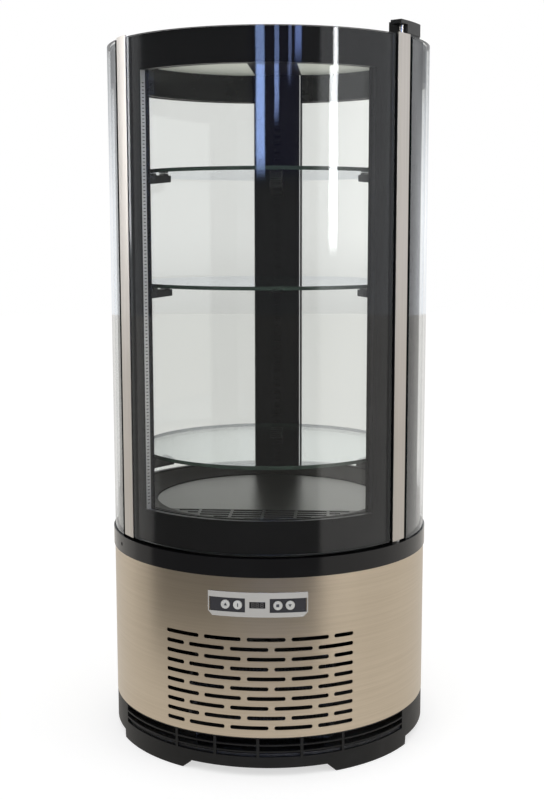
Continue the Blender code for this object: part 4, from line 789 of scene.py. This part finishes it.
def coilTubes(maker, given, pack):
    # two banks of straight tubes; bends join them in pairs, one pair on at the far end
    index = maker.add("GeometryNodeInputIndex")
    pitch = given["Height"] / given["Rows"]
    bank = maker.maths("FLOOR", index / given["Rows"])
    rank = index - bank * given["Rows"]
    level = (rank + 0.5) * pitch - given["Height"] / 2
    side = (bank - 0.5) * given["Depth"] / 2
    half = pack / 2 + given["Tube radius"]
    count = given["Rows"] * 2

    sockets = {"Resolution": 12, "Radius": given["Tube radius"]}
    ring = maker.add("GeometryNodeCurvePrimitiveCircle", None, sockets)
    sockets = {"Start": maker.vector(half * -1, 0.0, 0.0), "End": maker.vector(half, 0.0, 0.0)}
    line = maker.add("GeometryNodeCurvePrimitiveLine", None, sockets)
    tube = maker.add("GeometryNodeCurveToMesh", None, {"Curve": line, "Profile Curve": ring})
    tubes = scatter(maker, count, maker.vector(0.0, side, level), tube)

    sockets = {"Resolution": 10, "Radius": pitch / 2, "Start Angle": -math.pi / 2, "Sweep Angle": math.pi}
    bow = maker.add("GeometryNodeCurveArc", None, sockets)
    upright = maker.moved(bow, {"Rotation": (math.pi / 2, 0, 0), "Scale": (0.6, 1, 1)})
    bend = maker.add("GeometryNodeCurveToMesh", None, {"Curve": upright, "Profile Curve": ring})
    other = maker.moved(bend, {"Rotation": (0, 0, math.pi)})
    odd = rank % 2
    inner = maker.maths("LESS_THAN", rank, given["Rows"] - 1.5)
    nearPlace = maker.vector(half, side, level + pitch / 2)
    farPlace = maker.vector(half * -1, side, level + pitch / 2)
    near = scatter(maker, count, nearPlace, bend, 1 - odd)
    far = scatter(maker, count, farPlace, other, odd * inner)
    pipes = maker.add("GeometryNodeJoinGeometry", None, {0: [tubes, near, far]})
    return painted(maker, pipes, given["Tube material"])


def coilTree():
    inputs = numberInputs(condenserShape, ("Fins", "Rows")) + [("Centre", "Vector", (0, 0, 0))]
    inputs += [("Fin material", "Material", None), ("Tube material", "Material", None)]
    maker, given = startTree("coil", inputs)
    pack = given["Length"] - given["End"] * 2
    parts = [coilFins(maker, given, pack), coilTubes(maker, given, pack)]
    both = maker.add("GeometryNodeJoinGeometry", None, {0: parts})
    moved = maker.moved(both, {"Translation": given["Centre"]})
    return closeTree(maker, maker.add("GeometryNodeRealizeInstances", None, {0: moved}))


coil = coilTree()
for nodeName, shape, finLook, tubeLook, slotName in (
        ("condenser", condenserShape, machinePaint, machinePaint, "dark_paint"),
        ("evaporator", evaporatorShape, finAluminium, pipeCopper, "aluminium")):
    low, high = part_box(nodeName)
    centre = tuple((low[axis] + high[axis]) / 2 for axis in range(3))
    values = {**shape, "Centre": centre, "Fin material": finLook, "Tube material": tubeLook}
    piece = growPiece(nodeName + ".shown", coil, values)
    shadePlain(piece.data)
    dress(piece, nodeName)
print("coils: 2")


# Door frame and spacer, and painted shade where the spacer's holes are

# sizes of the thin dark capsules that paint the shade of the spacer's holes
holeShade = {"Count": 122, "Pitch": 0.0046, "Length": 0.0034, "Height": 0.0011, "Depth": 0.00006}
spacerBars = {"radius": 0.217, "left": -44.8, "right": 42.6, "low": 0.3535, "top": 0.9266, "bottom": 0.3455,
              "bar": 0.0035, "level": 0.0006, "near": 0.0012, "brightTo": 0.2}


def openWindow(piece):
    # the level bars hardly show past the print, so their inner edges draw back behind it
    shift = spacerBars["bar"] - spacerBars["level"]
    for vert in piece.data.vertices:
        if abs(vert.co.z - spacerBars["top"] + spacerBars["bar"]) < spacerBars["near"]:
            vert.co.z += shift
        if abs(vert.co.z - spacerBars["bottom"] - spacerBars["bar"]) < spacerBars["near"]:
            vert.co.z -= shift


def paintSpacerShade(spacer):
    # all bars are one aluminium: the left bar, lit behind the glass, keeps it, and the others are painted
    # black as painted shade
    spacer.data.materials.append(frameBlack)
    for face in spacer.data.polygons:
        angle = math.degrees(math.atan2(face.center.x, -face.center.y))
        bright = angle < spacerBars["left"] + spacerBars["brightTo"] and face.center.z < spacerBars["top"]
        face.material_index = 0 if bright else 1


openWindow(copyPiece("door_frame", frameBlack, 0.0004))
spacer = copyPiece("door_spacer", barAluminium, 0.0003)
openWindow(spacer)
paintSpacerShade(spacer)


# painted shade for the spacer's holes: thin dark rubber capsules lie on the bar, and no hole is cut
def holeShadeTree():
    inputs = numberInputs(holeShade, ("Count",)) + [("Foot", "Vector", (0, 0, 0))]
    inputs += [("Turn", "Float", 0.0), ("Material", "Material", None)]
    maker, given = startTree("holeShade", inputs)
    index = maker.add("GeometryNodeInputIndex")
    hole = capsule(maker, given["Length"], given["Height"], given["Depth"])
    stand = maker.moved(hole, {"Rotation": (math.pi / 2, 0, 0)})
    turned = maker.moved(stand, {"Rotation": maker.vector(0.0, 0.0, given["Turn"])})
    row = scatter(maker, given["Count"], maker.vector(0.0, 0.0, index * given["Pitch"]), turned)
    moved = maker.moved(row, {"Translation": given["Foot"]})
    return closeTree(maker, painted(maker, moved, given["Material"]))


holeShadeNodes = holeShadeTree()
for side in ("left", "right"):
    angle = spacerBars[side]
    foot = drumPoint(spacerBars["radius"], angle, spacerBars["low"])
    turn = math.radians(angle) + math.pi / 2
    values = {**holeShade, "Foot": tuple(foot), "Turn": turn, "Material": sealRubber}
    row = growPiece("spacer_hole_shade_" + side, holeShadeNodes, values)
    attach(row, "door")
print("perforation: 2 rows")


# Generic marks on the keys and dark segments of the display

markShape = {"angles": (-10.8, -6.6, 6.8, 10.9), "level": 0.235, "size": 0.0026, "sheet": 0.00008}
# an up arrow, a bar, a square and a down arrow, drawn flat as (across, up)
markOutlines = [
    [(-0.85, -0.6), (0.85, -0.6), (0, 0.9)],
    [(-0.25, -0.9), (0.25, -0.9), (0.25, 0.9), (-0.25, 0.9)],
    [(-0.75, -0.75), (0.75, -0.75), (0.75, 0.75), (-0.75, 0.75)],
    [(-0.85, 0.6), (0, -0.9), (0.85, 0.6)],
]
digitShape = {"angles": (-1.5, 0.0, 1.5), "width": 0.0034, "height": 0.0058, "bar": 0.0006, "joint": 0.7,
              "radius": 0.22688, "level": 0.23535, "sheet": 0.00006}


def faceDirections(angle):
    # across a flat face that looks out at this angle, and out of it
    turn = math.radians(angle)
    return Vector((math.cos(turn), math.sin(turn), 0)), Vector((math.sin(turn), -math.cos(turn), 0))


def raiseOutline(bm, outline, angle, level, radius, sheet):
    # thin inlay on a flat face that looks out at this angle
    across, outward = faceDirections(angle)
    centre = outward * radius + Vector((0, 0, level))
    rings = []
    for depth in (0.0, sheet):
        corners = [centre + across * x + Vector((0, 0, z)) + outward * depth for x, z in outline]
        rings.append([bm.verts.new(corner) for corner in corners])
    bm.faces.new(rings[1])
    bm.faces.new(list(reversed(rings[0])))
    for one in range(len(outline)):
        two = (one + 1) % len(outline)
        bm.faces.new((rings[0][one], rings[0][two], rings[1][two], rings[1][one]))


def markKey(node, angle, outline, name):
    # the mark lies on the key's flat face, in the middle of the key
    facet = math.floor(angle / drumStep["flat"]) * drumStep["flat"] + drumStep["flat"] / 2
    across, outward = faceDirections(facet)
    faceRadius = max(Vector(vert.co).dot(outward) for vert in cadNodes[node].data.vertices)
    low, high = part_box(node)
    middle = Vector(((low[0] + high[0]) / 2, (low[1] + high[1]) / 2, 0))
    shift = middle.dot(across)
    placed = [(x * markShape["size"] + shift, z * markShape["size"]) for x, z in outline]
    bm = bmesh.new()
    raiseOutline(bm, placed, facet, markShape["level"], faceRadius, markShape["sheet"])
    mark = addPiece(name, bm, [symbolInk])
    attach(mark, node)


def digitBars():
    # the seven bars of a digit, each as left, right, low, high
    halfWidth = digitShape["width"] / 2
    halfHeight = digitShape["height"] / 2
    bar = digitShape["bar"]
    gap = bar * digitShape["joint"]
    bars = []
    for z in (-halfHeight, 0.0, halfHeight):
        bars.append((-halfWidth + bar, halfWidth - bar, z - bar / 2, z + bar / 2))
    for x in (-halfWidth, halfWidth):
        bars.append((x - bar / 2, x + bar / 2, -halfHeight + gap, -gap))
        bars.append((x - bar / 2, x + bar / 2, gap, halfHeight - gap))
    return bars


for number, (angle, outline) in enumerate(zip(markShape["angles"], markOutlines), 1):
    markKey("button_%d" % number, angle, outline, "key_mark_%d" % number)

bm = bmesh.new()
for angle in digitShape["angles"]:
    for x0, x1, z0, z1 in digitBars():
        outline = [(x0, z0), (x1, z0), (x1, z1), (x0, z1)]
        raiseOutline(bm, outline, angle, digitShape["level"], digitShape["radius"], digitShape["sheet"])
digits = addPiece("display_segments", bm, [digitInk])
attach(digits, "cabinet")
print("marks: keys and display")


# Studio

studio = {"diffuse": 0.8, "floorGlow": 0.6, "floorPaint": 0.52, "floorRadius": 9.0, "floorDrop": 0.0004,
          "wallLeft": (0.9, 0.905, 0.905), "wallRight": (1.16, 1.165, 1.15), "wallLow": (0.72, 0.725, 0.72),
          "floorLeft": (0.61, 0.615, 0.605), "floorRight": (0.74, 0.745, 0.73)}
# brightness of what shiny surfaces see: white walls and floor to start with, dim corners behind, white paper
# round the object; lights go faint once they are seen through both front panes, which is 6 passes or more
roomLook = {"wallStart": 0.95, "floorStart": 0.74, "paper": 0.7, "paperSoft": 0.25, "cornerFrom": 138.0,
            "cornerSoft": 9.0, "cornerEnd": (166.0, 176.0), "cornerRise": (0.0, 0.14), "cornerDark": 0.3,
            "floorSoft": 0.06, "warmth": (0.96, 0.9), "faintPasses": (6.4, 7.4), "faintShare": 0.97,
            "lightEdge": 0.25, "lightFoot": 0.015}
# the walls change at these azimuths, from left to right: azimuth, how soft, brightness beyond it
wallBands = [(-110.0, 2.0, 0.48), (-97.0, 2.5, 0.12), (40.0, 1.5, 0.78), (100.0, 8.0, 0.97)]
# and the floor at these lines: azimuth, distance from the drum's axis, brightness beyond it
floorBands = [(-110.0, 0.195, 0.58), (-90.0, 0.172, 0.13), (41.0, -0.076, 0.7), (100.0, -0.178, 0.74)]
# bright things round the room: azimuth, half width, lowest height, colour
roomLights = [
    (9.0, 17.0, 0.04, (0.06, 0.06, 0.11)),
    (51.0, 1.5, -0.01, (18.0, 18.0, 18.0)),
    (-112.9, 2.4, -0.01, (7.0, 7.0, 7.0)),
    (-1.8, 3.0, 0.05, (2.5, 3.5, 6.4)),
    (9.6, 1.5, 0.09, (1.6, 2.2, 4.2)),
    (18.6, 1.1, 0.12, (1.2, 1.5, 2.8)),
    (24.3, 2.2, 0.135, (1.8, 2.5, 5.4)),
]


def roomBack(maker, azimuth, height):
    # what shiny surfaces see round the room: a dark front between white walls, dim corners behind
    level = roomLook["wallStart"]
    for turn, soft, bright in wallBands:
        level = maker.fade(azimuth, turn - soft, turn + soft) * (bright - level) + level
    cornerFrom, soft = roomLook["cornerFrom"], roomLook["cornerSoft"]
    corner = maker.fade(abs(azimuth), cornerFrom - soft, cornerFrom + soft)
    corner = corner * (1 - maker.fade(abs(azimuth), *roomLook["cornerEnd"]))
    corner = corner * maker.fade(height, *roomLook["cornerRise"])
    level = level + (roomLook["cornerDark"] - level) * corner
    return maker.add("ShaderNodeCombineColor", None, {0: level, 1: level, 2: level})


def roomGlow(maker, azimuth, height, colour):
    # a lamp at each side and the bars of a window
    clear = 1 - maker.fade(maker.ray("Transparent Depth"), *roomLook["faintPasses"]) * roomLook["faintShare"]
    edge, foot = roomLook["lightEdge"], roomLook["lightFoot"]
    for middle, half, lowest, glow in roomLights:
        near = 1 - maker.fade(abs(azimuth - middle), half * (1 - edge), half * (1 + edge))
        above = maker.fade(height, lowest - foot, lowest + foot)
        colour = maker.blend(near * above * clear, colour, rgba(glow))
    return colour


def roomFloor(maker, x, y):
    # white paper lies round the object; the floor past it is darker in front
    start = roomLook["floorStart"]
    level = start
    for line, offset, bright in floorBands:
        turn = math.radians(line)
        beyond = x * math.cos(turn) + y * math.sin(turn) - offset
        past = maker.fade(beyond, -roomLook["floorSoft"], roomLook["floorSoft"])
        if line > 0:
            past = past * maker.fade(x, -0.02, 0.02)
        level = past * (bright - level) + level
    apart = maker.maths("SQRT", x * x + y * y)
    paper, soft = roomLook["paper"], roomLook["paperSoft"]
    level = (level - start) * maker.fade(apart, paper - soft, paper + soft) + start
    green, blue = roomLook["warmth"]
    return maker.add("ShaderNodeCombineColor", None, {0: level, 1: level * green, 2: level * blue})


def behindGlass(maker, plain, through):
    # what the camera sees through the glass is a little duller than the bare backdrop
    return maker.blend(maker.fade(maker.ray("Transparent Depth"), 0.0, 1.0), rgba(plain), through)


def makeWorld():
    world = bpy.data.worlds.new("softRoom")
    world.use_nodes = True
    world.node_tree.nodes.clear()
    maker = NodeMaker(world.node_tree)
    x, y, z = maker.split(maker.add("ShaderNodeTexCoord", None, None, "Generated"))
    azimuth = maker.maths("ARCTAN2", x, y * -1) * 180 / math.pi
    seen = roomGlow(maker, azimuth, z, roomBack(maker, azimuth, z))
    dull = maker.blend(maker.fade(x, -0.06, 0.06), rgba(studio["wallLeft"]), rgba(studio["wallRight"]))
    dull = maker.blend(maker.fade(z, -0.08, 0.005), rgba(studio["wallLow"]), dull)
    colour = maker.blend(maker.ray("Is Glossy Ray"), behindGlass(maker, (1, 1, 1), dull), seen)
    strength = 1 - (1 - studio["diffuse"]) * maker.ray("Is Diffuse Ray")
    back = maker.add("ShaderNodeBackground", None, {"Color": colour, "Strength": strength})
    maker.add("ShaderNodeOutputWorld", None, {"Surface": back})
    bpy.context.scene.world = world


def makeFloor():
    bm = bmesh.new()
    bmesh.ops.create_circle(bm, cap_ends=True, radius=studio["floorRadius"], segments=64)
    material, maker = startMaterial("paleFloor")
    x, y, z = maker.split(objectPlace(maker))
    mirrorLook = maker.add("ShaderNodeEmission", None, {"Color": roomFloor(maker, x, y), "Strength": 1.0})
    dull = maker.blend(maker.fade(x, -0.5, 0.5), rgba(studio["floorLeft"]), rgba(studio["floorRight"]))
    sockets = {"Color": behindGlass(maker, (1, 1, 1), dull), "Strength": studio["floorGlow"]}
    glow = maker.add("ShaderNodeEmission", None, sockets)
    paint = maker.add("ShaderNodeBsdfDiffuse", None, {"Color": rgba((studio["floorPaint"],) * 3)})
    plain = maker.add("ShaderNodeAddShader", None, {0: glow, 1: paint})
    sockets = {0: maker.ray("Is Glossy Ray"), 1: plain, 2: mirrorLook}
    closeMaterial(maker, maker.add("ShaderNodeMixShader", None, sockets))
    floor = addPiece("paleFloorDisc", bm, [material])
    for vert in floor.data.vertices:
        vert.co.z = -studio["floorDrop"]


# soft lamps above and beside, and a small one that lights the ceiling: place, aim, size, power
lamps = {
    "softTop": ((-0.7, -1.6, 2.4), (0, 0, 0.5), 1.6, 9.0),
    "softSide": ((1.8, -0.6, 1.5), (0, 0, 0.5), 1.4, 5.0),
    "caseGlow": ((0, 0, 0.86), (0, 0, 0.99), 0.3, 0.17),
}


def addLamp(name, place, aim, size, power):
    light = bpy.data.lights.new(name, "AREA")
    light.size = size
    light.energy = power
    lamp = addObject(name, light)
    lamp.location = place
    lamp.rotation_euler = (Vector(aim) - Vector(place)).to_track_quat("-Z", "Y").to_euler()
    lamp.visible_glossy = False
    lamp.visible_camera = False


makeWorld()
makeFloor()
for name, values in lamps.items():
    addLamp(name, *values)

cameraView = {"distance": 1.8167, "height": 0.72242, "turn": 4.0, "down": 7.7586, "yaw": 0.1343,
              "roll": -0.0759, "lens": 56.62, "sensor": 36.0}


def makeCamera():
    turn = Matrix.Rotation(math.radians(cameraView["turn"]), 3, "Z")
    yaw = math.radians(cameraView["yaw"])
    down = math.radians(cameraView["down"])
    roll = math.radians(cameraView["roll"])
    ahead = Vector((math.sin(yaw) * math.cos(down), math.cos(yaw) * math.cos(down), -math.sin(down)))
    right = Vector((math.cos(yaw), -math.sin(yaw), 0))
    up = right.cross(ahead)
    level = math.cos(roll) * right + math.sin(roll) * up
    top = -math.sin(roll) * right + math.cos(roll) * up
    axes = [turn @ level, turn @ top, turn @ -ahead]
    place = turn @ Vector((0, -cameraView["distance"], cameraView["height"]))
    data = bpy.data.cameras.new("studioCamera")
    data.sensor_fit = "VERTICAL"
    data.sensor_height = cameraView["sensor"]
    data.lens = cameraView["lens"]
    camera = addObject("studioCamera", data)
    camera.matrix_world = Matrix.Translation(place) @ Matrix(axes).transposed().to_4x4()
    bpy.context.scene.camera = camera


makeCamera()
bpy.context.scene.view_settings.view_transform = "Standard"
bpy.context.scene.cycles.transparent_max_bounces = 48
print("studio ready")
